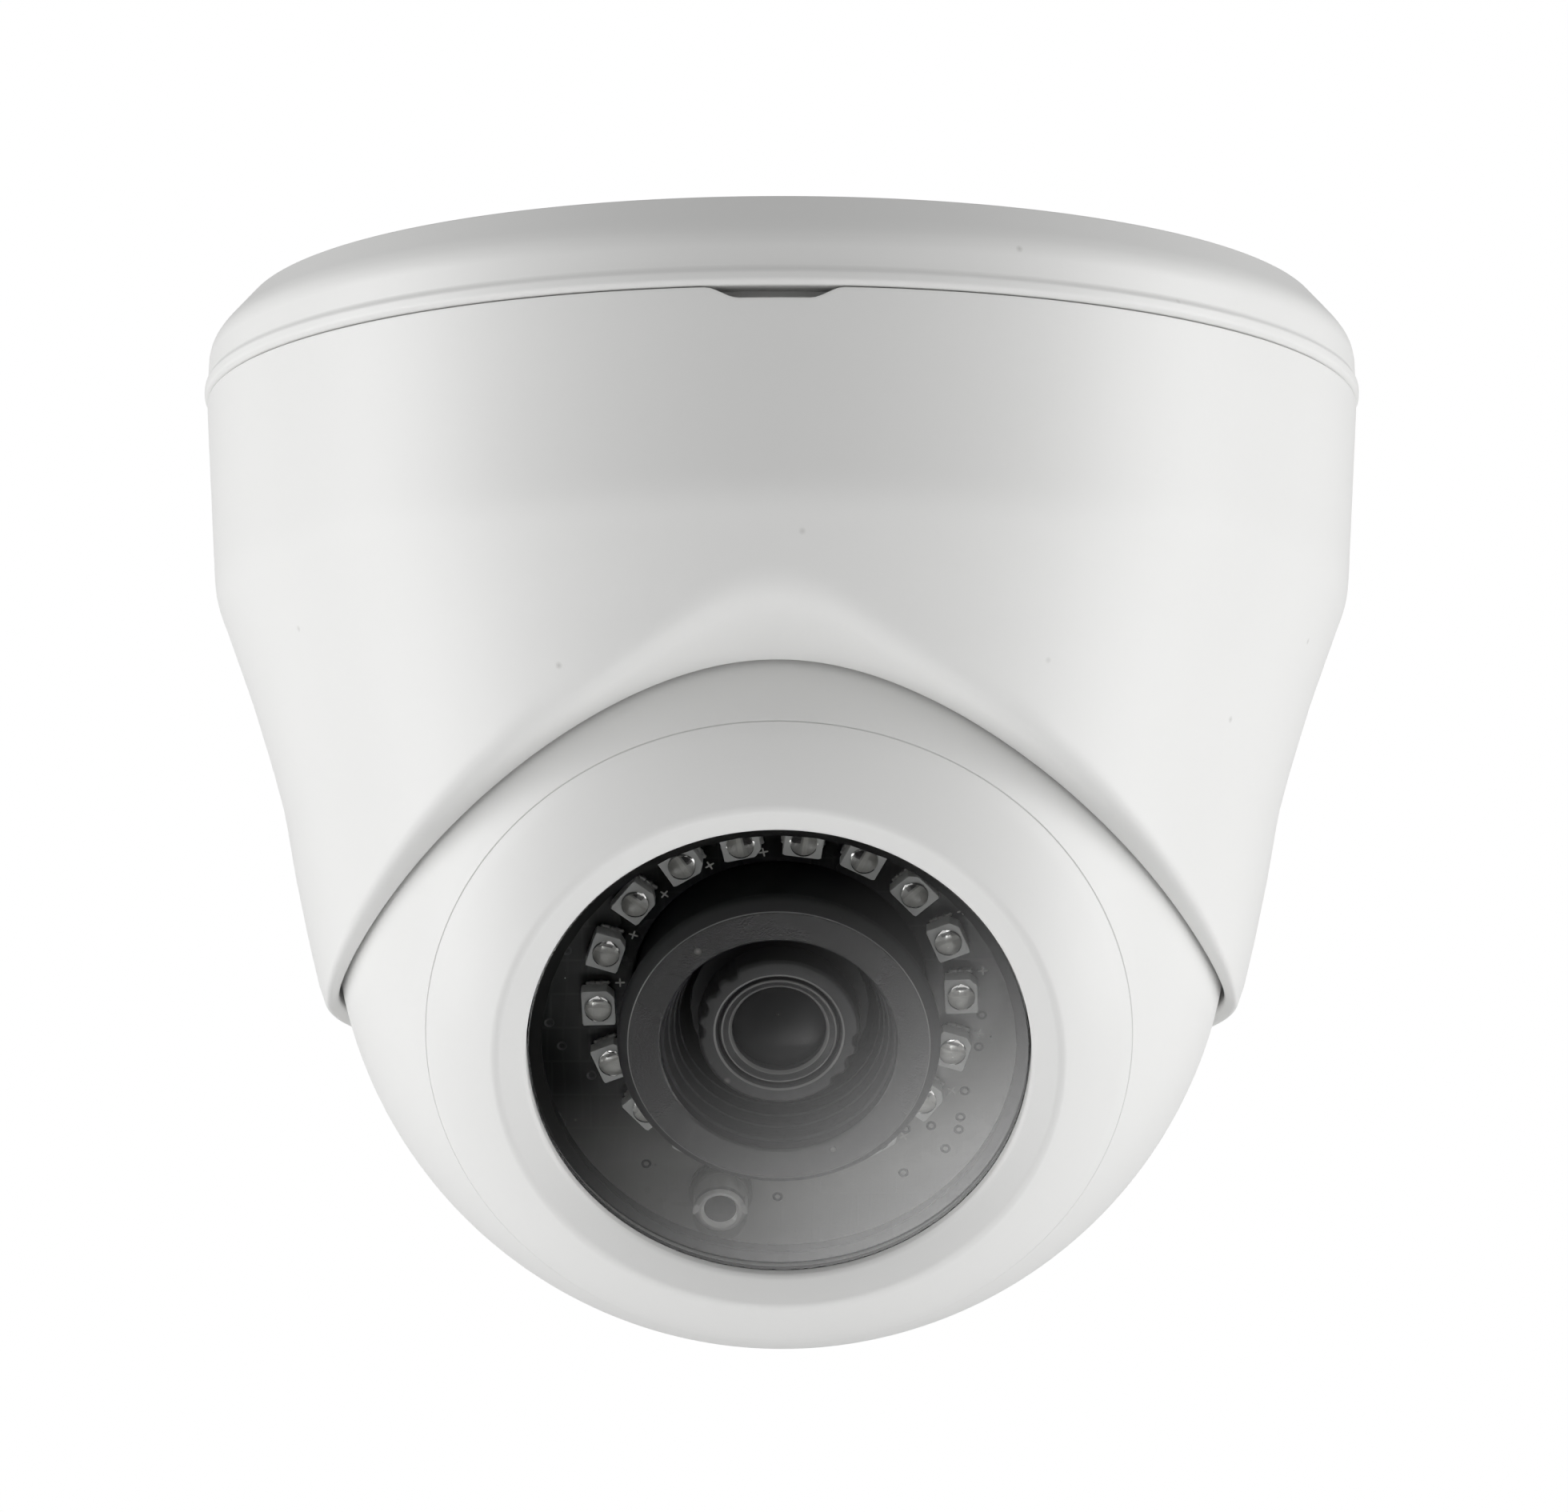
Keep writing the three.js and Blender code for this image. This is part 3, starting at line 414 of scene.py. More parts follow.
# ------------------------------------------------------------------ materials
def node(tree, kind, inputs=None, **settings):
    """A shader node of a kind such as Bump, with its settings, values and links."""
    new = tree.nodes.new("ShaderNode" + kind)
    for key, value in settings.items():
        setattr(new, key, value)
    for key, value in (inputs or {}).items():
        if isinstance(value, bpy.types.NodeSocket):
            tree.links.new(value, new.inputs[key])
        else:
            new.inputs[key].default_value = value
    return new


def math(tree, operation, a, b=0.0, clamp=False):
    """A math node's output."""
    return node(tree, "Math", {0: a, 1: b}, operation=operation, use_clamp=clamp).outputs[0]


def blend(tree, mask, a, b):
    """Colours a and b mixed by a mask."""
    return node(tree, "Mix", {0: mask, 6: a, 7: b}, data_type="RGBA").outputs[2]


def ramp(tree, value, low, high, to_low=0.0, to_high=1.0):
    """A value carried from one range to another, clamped."""
    return node(tree, "MapRange", {0: value, 1: low, 2: high, 3: to_low, 4: to_high}).outputs[0]


def new_group(name, inputs, outputs):
    """An empty shader node group with float inputs (name, default) and float outputs."""
    tree = bpy.data.node_groups.new(name, "ShaderNodeTree")
    for label, default in inputs:
        socket = tree.interface.new_socket(label, in_out="INPUT", socket_type="NodeSocketFloat")
        socket.default_value = default
    for label in outputs:
        tree.interface.new_socket(label, in_out="OUTPUT", socket_type="NodeSocketFloat")
    return tree, tree.nodes.new("NodeGroupInput"), tree.nodes.new("NodeGroupOutput")


def mould_grain_group():
    """Spark-eroded mould texture: two sizes of noise, and a slow cloud that varies gloss and shade."""
    if "Mould Grain" in bpy.data.node_groups:
        return bpy.data.node_groups["Mould Grain"]
    tree, given, out = new_group("Mould Grain", [("Scale", 2000.0), ("Cloud Scale", 60.0)], ["Height", "Cloud"])
    place = node(tree, "TexCoord").outputs["Object"]
    coarse = node(tree, "TexNoise", {"Vector": place, "Scale": given.outputs["Scale"], "Detail": 3.0})
    finer = math(tree, "MULTIPLY", given.outputs["Scale"], 2.7)
    fine = node(tree, "TexNoise", {"Vector": place, "Scale": finer, "Detail": 2.0})
    most, rest = math(tree, "MULTIPLY", coarse.outputs[0], 0.65), math(tree, "MULTIPLY", fine.outputs[0], 0.35)
    height = math(tree, "ADD", most, rest)
    cloud = node(tree, "TexNoise", {"Vector": place, "Scale": given.outputs["Cloud Scale"], "Detail": 4.0})
    tree.links.new(height, out.inputs["Height"])
    tree.links.new(cloud.outputs[0], out.inputs["Cloud"])
    return tree


def dust_group():
    """Settled dust: small soft dots at the centres of a few random cells."""
    if "Settled Dust" in bpy.data.node_groups:
        return bpy.data.node_groups["Settled Dust"]
    tree, given, out = new_group("Settled Dust", [("Scale", 500.0), ("Dot", 0.12), ("Share", 0.05)], ["Mask"])
    place = node(tree, "TexCoord").outputs["Object"]
    cells = node(tree, "TexVoronoi", {"Vector": place, "Scale": given.outputs["Scale"]})
    near = node(tree, "MapRange", {0: cells.outputs["Distance"], 1: given.outputs["Dot"], 2: 0.0})
    lottery = node(tree, "SeparateColor", {0: cells.outputs["Color"]})
    chosen = math(tree, "LESS_THAN", lottery.outputs[0], given.outputs["Share"])
    tree.links.new(math(tree, "MULTIPLY", near.outputs[0], chosen), out.inputs["Mask"])
    return tree


def grain(tree, scale, cloud_scale):
    """The mould grain group placed in a material."""
    return node(tree, "Group", {"Scale": scale, "Cloud Scale": cloud_scale}, node_tree=mould_grain_group())


def dust(tree, scale, dot, share):
    """The dust group's mask placed in a material."""
    placed = node(tree, "Group", {"Scale": scale, "Dot": dot, "Share": share}, node_tree=dust_group())
    return placed.outputs["Mask"]


def blank(name):
    """A new material with only its output node."""
    material = bpy.data.materials.new(name)
    material.use_nodes = True
    material.node_tree.nodes.clear()
    return material, material.node_tree, material.node_tree.nodes.new("ShaderNodeOutputMaterial")


def rgba(rgb, factor=1.0):
    """A colour with its alpha, scaled."""
    return (rgb[0] * factor, rgb[1] * factor, rgb[2] * factor, 1.0)


def surface(tree, out, inputs):
    """A Principled shader with these inputs, joined to the material's output."""
    tree.links.new(node(tree, "BsdfPrincipled", inputs).outputs[0], out.inputs["Surface"])


def relief(tree, strength, depth, height):
    """Normals bent by a height, where `depth` in metres is the step between 0 and 1."""
    return node(tree, "Bump", {"Strength": strength, "Distance": depth, "Height": height}).outputs[0]


def finish(name, rgb, rough, metal=0.0, scale=2500.0, depth=0.00002, vary=0.04, specks=0.0, ior=1.5, bump=0.5):
    """A grained surface whose shade and gloss drift slowly, with optional dust.

    Bump height is the mould grain, base colour runs between two shades by the cloud, and
    roughness rises where the cloud is pale.
    """
    if name in bpy.data.materials:
        return bpy.data.materials[name]
    material, tree, out = blank(name)
    texture = grain(tree, scale, 45.0)
    base = blend(tree, texture.outputs["Cloud"], rgba(rgb, 1 - vary), rgba(rgb, 1 + vary))
    roughness = ramp(tree, texture.outputs["Cloud"], 0.1, 0.9, rough * 0.94, rough * 1.06)
    if specks:
        mask = dust(tree, 420.0, 0.16, specks)
        base = blend(tree, math(tree, "MULTIPLY", mask, 0.45), base, (0.32, 0.31, 0.29, 1.0))
        roughness = math(tree, "ADD", roughness, math(tree, "MULTIPLY", mask, 0.3))
    surface(tree, out, {
        "Base Color": base,
        "Roughness": roughness,
        "Metallic": metal,
        "IOR": ior,
        "Normal": relief(tree, bump, depth, texture.outputs["Height"]),
    })
    return material


def clear(name, tint, ior=1.49, specks=0.0, smudge=0.02):
    """Clear glass or resin, with dust that dulls it. Light passes it without a shadow."""
    if name in bpy.data.materials:
        return bpy.data.materials[name]
    material, tree, out = blank(name)
    cloud = grain(tree, 1500.0, 90.0).outputs["Cloud"]
    roughness = ramp(tree, cloud, 0.45, 0.8, 0.0, smudge)
    base = blend(tree, cloud, rgba(tint), rgba(tint, 0.97))
    if specks:
        mask = dust(tree, 900.0, 0.13, specks)
        roughness = math(tree, "ADD", roughness, math(tree, "MULTIPLY", mask, 0.6), clamp=True)
    shader = node(tree, "BsdfPrincipled", {
        "Base Color": base,
        "Roughness": roughness,
        "IOR": ior,
        "Transmission Weight": 1.0,
    })
    lit = node(tree, "BsdfTransparent", {"Color": rgba(tint)})
    ray = node(tree, "LightPath")
    shadow = ray.outputs["Is Shadow Ray"]
    mixed = node(tree, "MixShader", {0: shadow, 1: shader.outputs[0], 2: lit.outputs[0]})
    tree.links.new(mixed.outputs[0], out.inputs["Surface"])
    return material


def white_plastic():
    """Satin white moulded plastic."""
    tone = bpy.context.scene.dome_colours.plastic
    return finish(
        "Satin White Plastic", tone, 0.40, scale=1500.0, depth=0.00001, vary=0.012, specks=0.012, bump=0.22)


def gasket_black_and_painted_shade():
    """Matt black of the window's gasket, also used as painted shade on the bezel's faces behind the window."""
    return finish("Recess Black", (0.010, 0.010, 0.010), 0.7, vary=0.2, ior=1.15)


def hood_front_plastic():
    """Black plastic with a coarse sparkling grain."""
    tone = bpy.context.scene.dome_colours.hood
    half = [c * 0.5 for c in tone]
    return finish("Grained Black Plastic", half, 0.26, scale=3800.0, depth=0.00008, vary=0.5, specks=0.01)


def edge_highlight():
    """Painted highlight: a paler finish for thin edges of black plastic or metal."""
    return finish("Worn Black Edge", (0.14, 0.14, 0.138), 0.3, scale=5200.0, depth=0.00001, vary=0.35)


def hood_bore_plastic():
    """Smoother black plastic inside the hood."""
    tone = bpy.context.scene.dome_colours.hood
    return finish("Smooth Black Plastic", tone, 0.45, scale=3000.0, depth=0.00001, vary=0.1, specks=0.02, ior=1.3)


def inner_black():
    """Black plastic of the parts inside."""
    return finish("Inner Black Plastic", (0.02, 0.02, 0.021), 0.55, vary=0.15)


def black_rubber():
    """Dull rubber of the grommets."""
    return finish("Black Rubber", (0.02, 0.02, 0.021), 0.75, scale=1800.0, depth=0.00004, vary=0.2)


def screw_steel():
    """Plated steel of the screws."""
    return finish("Screw Steel", (0.55, 0.56, 0.57), 0.3, metal=1.0, scale=5000.0, depth=0.00001, vary=0.1)


def board_mask():
    """Black solder mask over faint copper tracks.

    Tracks are bands of a wave pattern bent by noise, raised a little and slightly paler than the
    mask between them. They follow the board's own place attribute. The mask is painted paler
    towards the low side of the window, a painted sheen that stands for light and its reflection.
    """
    name = "Black Solder Mask"
    if name in bpy.data.materials:
        return bpy.data.materials[name]
    tone = bpy.context.scene.dome_colours.board
    material, tree, out = blank(name)
    place = node(tree, "Attribute", attribute_name="place").outputs["Vector"]
    bricks = node(tree, "TexBrick", {
        "Vector": place, "Scale": 0.16, "Mortar Size": 0.02, "Mortar Smooth": 0.3,
        "Brick Width": 1.1, "Row Height": 0.55,
    })
    waves = node(tree, "TexWave", {
        "Vector": place, "Scale": 0.22, "Distortion": 6.0, "Detail": 0.0, "Detail Scale": 0.4,
    })
    track = ramp(tree, waves.outputs["Fac"], 0.93, 0.97)
    lines = math(tree, "MAXIMUM", math(tree, "MULTIPLY", track, 0.5), bricks.outputs["Fac"])
    texture = grain(tree, 2600.0, 70.0)
    base = blend(tree, math(tree, "MULTIPLY", lines, 0.5), rgba(tone), rgba(tone, 2.2))
    # Painted sheen: the mask pales towards the low side of the window, standing for light and its reflection there.
    axes = node(tree, "SeparateXYZ", {0: place})
    slant = math(tree, "SUBTRACT", math(tree, "MULTIPLY", axes.outputs[0], 0.35), axes.outputs[1])
    low = ramp(tree, slant, 2.0, 22.0)
    base = blend(tree, math(tree, "POWER", low, 1.4), base, (0.62, 0.62, 0.61, 1.0))
    mask = dust(tree, 700.0, 0.12, 0.03)
    base = blend(tree, mask, base, (0.18, 0.18, 0.17, 1.0))
    height = math(tree, "ADD", lines, math(tree, "MULTIPLY", texture.outputs["Height"], 0.25))
    surface(tree, out, {
        "Base Color": base,
        "Roughness": ramp(tree, texture.outputs["Cloud"], 0.3, 0.7, 0.25, 0.33),
        "IOR": 1.38,
        "Normal": relief(tree, 0.12, 0.00002, height),
    })
    return material


def led_cup():
    """The floor of an emitter's cup: two bright lead-frame pads, a pale bar between them and a dark chip.

    Masks come from the emitter's own place attribute, with x along the ring. The pads carry
    painted shade: they are painted darker towards the end at low x.
    """
    name = "LED Cup"
    if name in bpy.data.materials:
        return bpy.data.materials[name]
    material, tree, out = blank(name)
    place = node(tree, "Attribute", attribute_name="place").outputs["Vector"]
    split = node(tree, "SeparateXYZ", {0: place})
    x, y = split.outputs[0], split.outputs[1]
    bar = ramp(tree, math(tree, "ABSOLUTE", math(tree, "SUBTRACT", x, -0.12)), 0.15, 0.11)
    chip_x = ramp(tree, math(tree, "ABSOLUTE", math(tree, "SUBTRACT", x, 0.42)), 0.30, 0.27)
    chip_y = ramp(tree, math(tree, "ABSOLUTE", y), 0.33, 0.30)
    chip = math(tree, "MULTIPLY", chip_x, chip_y)
    texture = grain(tree, 9000.0, 900.0)
    metal = blend(tree, texture.outputs["Cloud"], (0.50, 0.50, 0.49, 1.0), (0.72, 0.72, 0.70, 1.0))
    # Painted shade: the pads darken towards low x.
    painted_shade = ramp(tree, x, -0.1, 0.25, 1.0, 0.35)
    metal = blend(tree, painted_shade, (0.10, 0.10, 0.10, 1.0), metal)
    base = blend(tree, bar, metal, (0.74, 0.74, 0.72, 1.0))
    base = blend(tree, chip, base, (0.035, 0.032, 0.035, 1.0))
    covered = math(tree, "MAXIMUM", bar, chip)
    surface(tree, out, {
        "Base Color": base,
        "Roughness": ramp(tree, covered, 0.0, 1.0, 0.42, 0.55),
        "Metallic": math(tree, "MULTIPLY", math(tree, "SUBTRACT", 1.0, covered), 0.45),
        "Normal": relief(tree, 0.4, 0.00003, texture.outputs["Height"]),
    })
    return material


def paint_nodes(finishes):
    """Gives CAD nodes their materials, from pairs of a material and its nodes' names."""
    for material, names in finishes:
        for name in names:
            for slot in frame["nodes"][name].material_slots:
                slot.link = "OBJECT"
                slot.material = material


# ------------------------------------------------------------------ base and cover
class DOME_OT_base(Operator):
    """Smooth rim over the base's side, and finishes for the base plate and its grommet."""

    bl_idname = "dome.base"
    bl_label = "Base"

    def execute(self, context):
        radius = context.scene.dome_housing.base_radius / MM
        plate_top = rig.box("base_plate")[1].z / MM
        skin = [
            (radius - 4.06, plate_top - 0.6),
            (radius - 3.96, plate_top - 0.01),
            (radius - 3.50, plate_top - 0.11),
            (radius - 0.90, plate_top - 2.95),
            (radius - 0.30, plate_top - 3.85),
            (radius, plate_top - 4.85),
            (radius + 0.10, plate_top - 7.25),
            (radius + 0.40, plate_top - 7.65),
            (radius + 0.40, plate_top - 8.42),
            (radius, plate_top - 8.86),
            (radius - 2.46, plate_top - 8.86),
            (radius - 2.46, plate_top - 8.30),
            (radius - 0.66, plate_top - 8.20),
            (radius - 0.66, plate_top - 5.00),
            (radius - 1.50, plate_top - 3.30),
            (radius - 4.06, plate_top - 0.6),
        ]
        reach = [0, 0.05, 0.2, 0.8, 0.6, 0.9, 0.25, 0.18, 0.2, 0.2, 0, 0, 0, 0, 0, 0]
        rim = turned(soften(skin, reach, 6), 288, HANGING)
        make_object("base_rim", rim, white_plastic(), "base", slot="white_plastic")
        paint_nodes([(white_plastic(), ["base_plate"]), (black_rubber(), ["cable_grommet"])])
        return {"FINISHED"}


SEAM_INNER = 51.2  # radius of the seam's inner side
BENDS_END = -30.2  # height below which the outline bends little
COLLAR_TOP = -14.6  # height where the wall thins towards the seam
SEAT_GAP = 0.4  # room between the ball and its seat
EDGE_ROUND = 0.35  # rounding of the mouth's inner edge
NOTCH_SLOPE = 3.0  # length of each sloping end of the notch
COVER_OUTLINE = np.array([
    [-9.4, 52.8], [-25.6, 51.95], [-26.9, 51.8], [-28.2, 51.45], [-29.5, 50.95], [-36.5, 48.45],
    [-42.5, 46.6], [-46.9, 45.4], [-52.9, 44.35], [-58.8, 43.1], [-63.0, 42.1], [-66.0, 41.0],
])


def cover_radius(z):
    """Radius of the cover's outside at a height, averaged over 0.9 mm so that its bends are soft."""
    heights, radii = -COVER_OUTLINE[:, 0], COVER_OUTLINE[:, 1]
    offsets = np.linspace(-0.45, 0.45, 9)
    return np.mean([np.interp(-z + o, heights, radii) for o in offsets], axis=0)


def cover_sections(azimuth, sizes):
    """The cover's wall as one closed section for each azimuth, which starts at the front.

    The mouth's outer edge rises as the square of the azimuth's cosine, with a narrow brow at the
    front, and its inner edge as a higher power of it. The wall runs down the outline, rounds
    over the outer edge, crosses the lip to the inner edge and climbs the ball's seat inside.
    """
    centre = BALL_CENTRE[2]
    seat_radius = sizes.ball_radius / MM + SEAT_GAP
    wall = sizes.cover_wall / MM
    seat = lambda z: np.sqrt(np.maximum(seat_radius**2 - (z - centre) ** 2, 0))
    inside = lambda z: np.maximum(cover_radius(z) - wall, seat(z))
    cosine = np.maximum(np.cos(azimuth), 0)
    signed = np.arctan2(np.sin(azimuth), np.cos(azimuth))
    brow = np.exp(-((signed / np.radians(14)) ** 2))
    outer = -65.0 + 24.2 * cosine**2 + 5.0 * brow
    inner = -64.0 + 24.35 * cosine**2.33
    corner = np.stack([cover_radius(outer), outer], -1)
    edge = np.stack([seat(inner), inner], -1)
    gap = np.linalg.norm(corner - edge, axis=-1)
    round_off = np.minimum(2.6, 0.47 * gap)
    top = -8.95 - notch_drop(52.0 * np.sin(azimuth), azimuth, sizes)
    ring = np.ones_like(azimuth)
    rows = [(SEAM_INNER * ring, top), (52.55 * ring, top), (52.74 * ring, top - 0.06), (52.8 * ring, top - 0.26)]
    wall_end = outer + round_off
    heights = [z * ring for z in (-12.0, -15.0, -18.0, -21.0, -24.0, *np.linspace(-24.8, BENDS_END, 13))]
    heights += [BENDS_END + (wall_end - BENDS_END) * t for t in np.linspace(0, 1, 22)[1:]]
    rows += [(cover_radius(z), z) for z in heights]
    lip_start = corner + (edge - corner) * (round_off / gap)[:, None]
    wall_point = np.stack([cover_radius(wall_end), wall_end], -1)
    rows += [bend(wall_point, corner, lip_start, t).T for t in np.linspace(0, 1, 9)[1:]]
    slope = (edge - lip_start) / np.linalg.norm(edge - lip_start, axis=-1, keepdims=True)
    near = edge - slope * EDGE_ROUND
    turn = np.stack([seat(inner + EDGE_ROUND), inner + EDGE_ROUND], -1)
    rows += [bend(near, edge, turn, t).T for t in (0.0, 0.3, 0.55, 0.8, 1.0)]
    shelf = inner + 2.4
    foot = np.maximum(outer + 2.4, shelf + 0.4)
    rows += [(seat(z), z) for z in (inner + 1.3, shelf)]
    heights = [foot + (-29.5 - foot) * t for t in np.linspace(0, 1, 8)] + [-25.6 * ring, COLLAR_TOP * ring]
    rows += [(inside(z), z) for z in heights]
    rows.append((SEAM_INNER * ring, COLLAR_TOP * ring))
    return np.array(rows).transpose(0, 2, 1)


def notch_drop(x, azimuth, sizes):
    """Depth of the opening notch: flat over its width, with sloping ends, at the front only."""
    half = sizes.notch_width / MM / 2
    depth = sizes.notch_depth / MM
    blend_in = np.clip((half + NOTCH_SLOPE - np.abs(x)) / NOTCH_SLOPE, 0, 1)
    smooth = blend_in**2 * (3 - 2 * blend_in)
    return np.where(np.cos(azimuth) > 0, depth * smooth, 0)


class DOME_OT_cover(Operator):
    """The cover, whose mouth wraps the ball and rises to a brow over the window."""

    bl_idname = "dome.cover"
    bl_label = "Cover"

    def execute(self, context):
        azimuth = 2 * np.pi * np.arange(640) / 640
        rows = cover_sections(azimuth, context.scene.dome_housing)
        r, z = rows[..., 0], rows[..., 1]
        grid = np.stack([r * np.sin(azimuth), -r * np.cos(azimuth), z], -1)
        points = grid.reshape(-1, 3)
        shape = points, points, [looped(grid.shape[:2])]
        make_object("cover_moulding", shape, white_plastic(), "cover", ["cover_shell"], "white_plastic", crease=40)
        screws = [f"clamp_ring_screw_{i}" for i in range(1, 4)]
        paint_nodes([(inner_black(), ["ball_clamp_ring"]), (screw_steel(), screws)])
        return {"FINISHED"}


# ------------------------------------------------------------------ ball, bezel and window
class DOME_OT_ball(Operator):
    """The ball's rear shell and the bezel round its window."""

    bl_idname = "dome.ball"
    bl_label = "Ball and bezel"

    def execute(self, context):
        sizes = context.scene.dome_housing
        radius, wall = sizes.ball_radius / MM, sizes.ball_wall / MM
        parting = sizes.parting_radius / MM
        front = np.sqrt(radius**2 - parting**2)
        start = np.degrees(np.arcsin(parting / radius))
        inner = radius - wall
        lip_radius, lip_back = 30.4, 22.9
        inner_start = np.degrees(np.arccos(lip_back / inner))
        outside = arc(0, 0, radius, start, 180, 110)
        inside = arc(0, 0, inner, 180, inner_start, 50)
        outside[-1, 0] = 0
        inside[0, 0] = 0
        lip = [(lip_radius, lip_back), (lip_radius, front - 0.1), (lip_radius + 0.1, front), (parting - 0.15, front)]
        profile = np.concatenate([lip, outside, inside, lip[:1]])
        turn_object("ball_moulding", profile, 256, white_plastic(), ["ball_rear_shell"], "white_plastic")
        self.bezel(context, front + 0.04, parting - 0.08)
        paint_nodes([(black_rubber(), ["ball_grommet"]), (gasket_black_and_painted_shade(), ["window_gasket"])])
        return {"FINISHED"}

    def bezel(self, context, front, face_radius):
        """A slightly bowed cone from the parting line to the bevel, the window's recess and the collar behind."""
        bevel = context.scene.dome_housing.bevel_radius / MM
        optics = context.scene.dome_optics
        bore = optics.window_radius / MM + 0.14
        window = optics.window_front / MM
        bevel_front = 30.9
        t = np.linspace(0, 1, 8)[1:-1]
        cone_r = face_radius + (bevel - face_radius) * t
        cone_d = front + 0.25 + (bevel_front - 0.25 - front) * t + 0.35 * np.sin(np.pi * t)
        cone = list(zip(cone_r, cone_d))
        profile = [
            (30.1, 20.5), (30.1, front), (face_radius - 0.05, front), (face_radius, front + 0.1), *cone,
            (bevel, bevel_front), (bevel - 0.55, bevel_front + 0.05),
            (bore + 0.25, window + 0.78), (bore, window + 0.45), (bore, 27.0), (21.2, 27.0),
            (21.2, 25.8), (26.3, 25.4), (28.9, 23.8), (28.9, 20.5), (30.1, 20.5),
        ]
        reach = [0, 0, 0.03, 0.06] + [0.4] * len(cone) + [0.45, 0.35, 0.25, 0.15, 0, 0, 0.1, 0, 0, 0, 0]
        shape = turned(soften(profile, reach, 5), 256, LOOKING)
        # Painted shade: the bezel's white faces inside the bore behind the window take matt black.
        painted_shade = self.behind_window(shape, window - 0.9, bore + 0.1)
        materials = [white_plastic(), gasket_black_and_painted_shade()]
        make_object("bezel_moulding", shape, materials, "ball", ["front_bezel"], "white_plastic", painted_shade)

    def behind_window(self, shape, depth, radius):
        """Which faces lie inside the bore and behind the window's face: 1 for those, which take painted shade, else 0.
        """
        _, local, faces, _ = shape
        centre = np.concatenate([local[f].mean(1) for f in faces])
        inside = np.hypot(centre[:, 0], centre[:, 1]) < radius
        return np.where(inside & (centre[:, 2] < depth), 1, 0)


class DOME_OT_window(Operator):
    """The clear window in the bezel."""

    bl_idname = "dome.window"
    bl_label = "Window"

    def execute(self, context):
        sizes = context.scene.dome_optics
        radius, front = sizes.window_radius / MM, sizes.window_front / MM
        profile = [(0, front - 1.1), (radius, front - 1.1), (radius, front), (0, front)]
        glass = clear("Window Glass", (0.985, 0.985, 0.98), ior=1.42, specks=0.02, smudge=0.0)
        turn_object("window_pane", soften(profile, [0, 0.1, 0.12, 0], 5), 256, glass, ["window_glass"], "window")
        return {"FINISHED"}


# ------------------------------------------------------------------ emitter board
def plus_outline(angle, half, thick):
    """Radius of a plus sign at an angle: the further of its two bars' edges."""
    c, s = np.abs(np.cos(angle)).clip(1e-6), np.abs(np.sin(angle)).clip(1e-6)
    return np.maximum(np.minimum(half / c, thick / s), np.minimum(thick / c, half / s))


def led_places(sizes):
    """Centre and turn of each emitter, where the right half is turned end for end."""
    step = 2 * np.pi / len(LED_NODES)
    angle = sizes.led_first + step * np.arange(len(LED_NODES))
    ring = sizes.led_ring / MM
    centre = np.stack([ring * np.sin(angle), ring * np.cos(angle)], -1)
    return centre, np.where(angle < np.pi, np.pi, 0) - angle


def turn_about(local, centre, turn):
    """Local points turned in the face's plane and moved to a centre."""
    c, s = np.cos(turn), np.sin(turn)
    x = centre[0] + c * local[:, 0] - s * local[:, 1]
    y = centre[1] + s * local[:, 0] + c * local[:, 1]
    return np.stack([x, y, local[:, 2]], -1)


class DOME_OT_board(Operator):
    """The black emitter board with its vias and polarity marks."""

    bl_idname = "dome.board"
    bl_label = "Emitter board"

    def execute(self, context):
        sizes = context.scene.dome_optics
        front = sizes.board_front / MM
        profile = [(13.4, front - 1.6), (28.5, front - 1.6), (28.5, front), (13.4, front), (13.4, front - 1.6)]
        profile = soften(profile, [0, 0.05, 0.1, 0.08, 0], 4)
        turn_object("emitter_board", profile, 192, board_mask(), ["ir_led_board"], "board_black")
        self.marks(sizes, front)
        self.vias(front)
        paint_nodes([(screw_steel(), [f"led_board_screw_{i}" for i in range(1, 5)])])
        return {"FINISHED"}

    def marks(self, sizes, front):
        """A printed plus beside each emitter's clipped corner."""
        ink = finish("Marking Ink", (0.62, 0.62, 0.60), 0.6, scale=9000.0, depth=0.00001, vary=0.12)
        outline = lambda angle, profile: np.tile(plus_outline(angle, 0.44, 0.08), (len(profile), 1))
        profile = [(0, front - 0.05), (1, front - 0.05), (1, front + 0.02), (0, front + 0.02)]
        _, local, faces, _ = turned(profile, 48, LOOKING, outline=outline)
        beside = local + np.array([1.65, -2.0, 0.0])
        placed = [turn_about(beside, centre, turn) for centre, turn in zip(*led_places(sizes))]
        marks = joined([(to_frame(spot, LOOKING), spot, faces, 0) for spot in placed])
        make_object("polarity_marks", marks, ink, "ball", slot="board_black")

    def vias(self, front):
        """Small plated rings in the board: each is a flat ring with a dimple in it."""
        spots = [
            (19.6, 283), (21.0, 262), (20.4, 255), (19.0, 244), (16.9, 236), (20.9, 181), (20.6, 128),
            (21.3, 131), (19.4, 121), (18.7, 107), (18.3, 97), (19.2, 135), (21.5, 149), (21.8, 137),
            (17.9, 141), (20.8, 72), (20.3, 51), (19.7, 22), (20.9, 340), (20.2, 305), (21.3, 215),
        ]
        ring = [
            (0.0, front - 0.02), (0.2, front - 0.02), (0.27, front + 0.02), (0.42, front + 0.03),
            (0.5, front - 0.02), (0.3, front - 0.1), (0.0, front - 0.1),
        ]
        rings = joined([(*turned(ring, 16, LOOKING, centre=clock(*spot))[:3], 0) for spot in spots])
        plated = finish("Tented Via", (0.045, 0.045, 0.047), 0.3, scale=6000.0, depth=0.00001, vary=0.2)
        make_object("board_vias", rings, plated, "ball", slot="board_black")


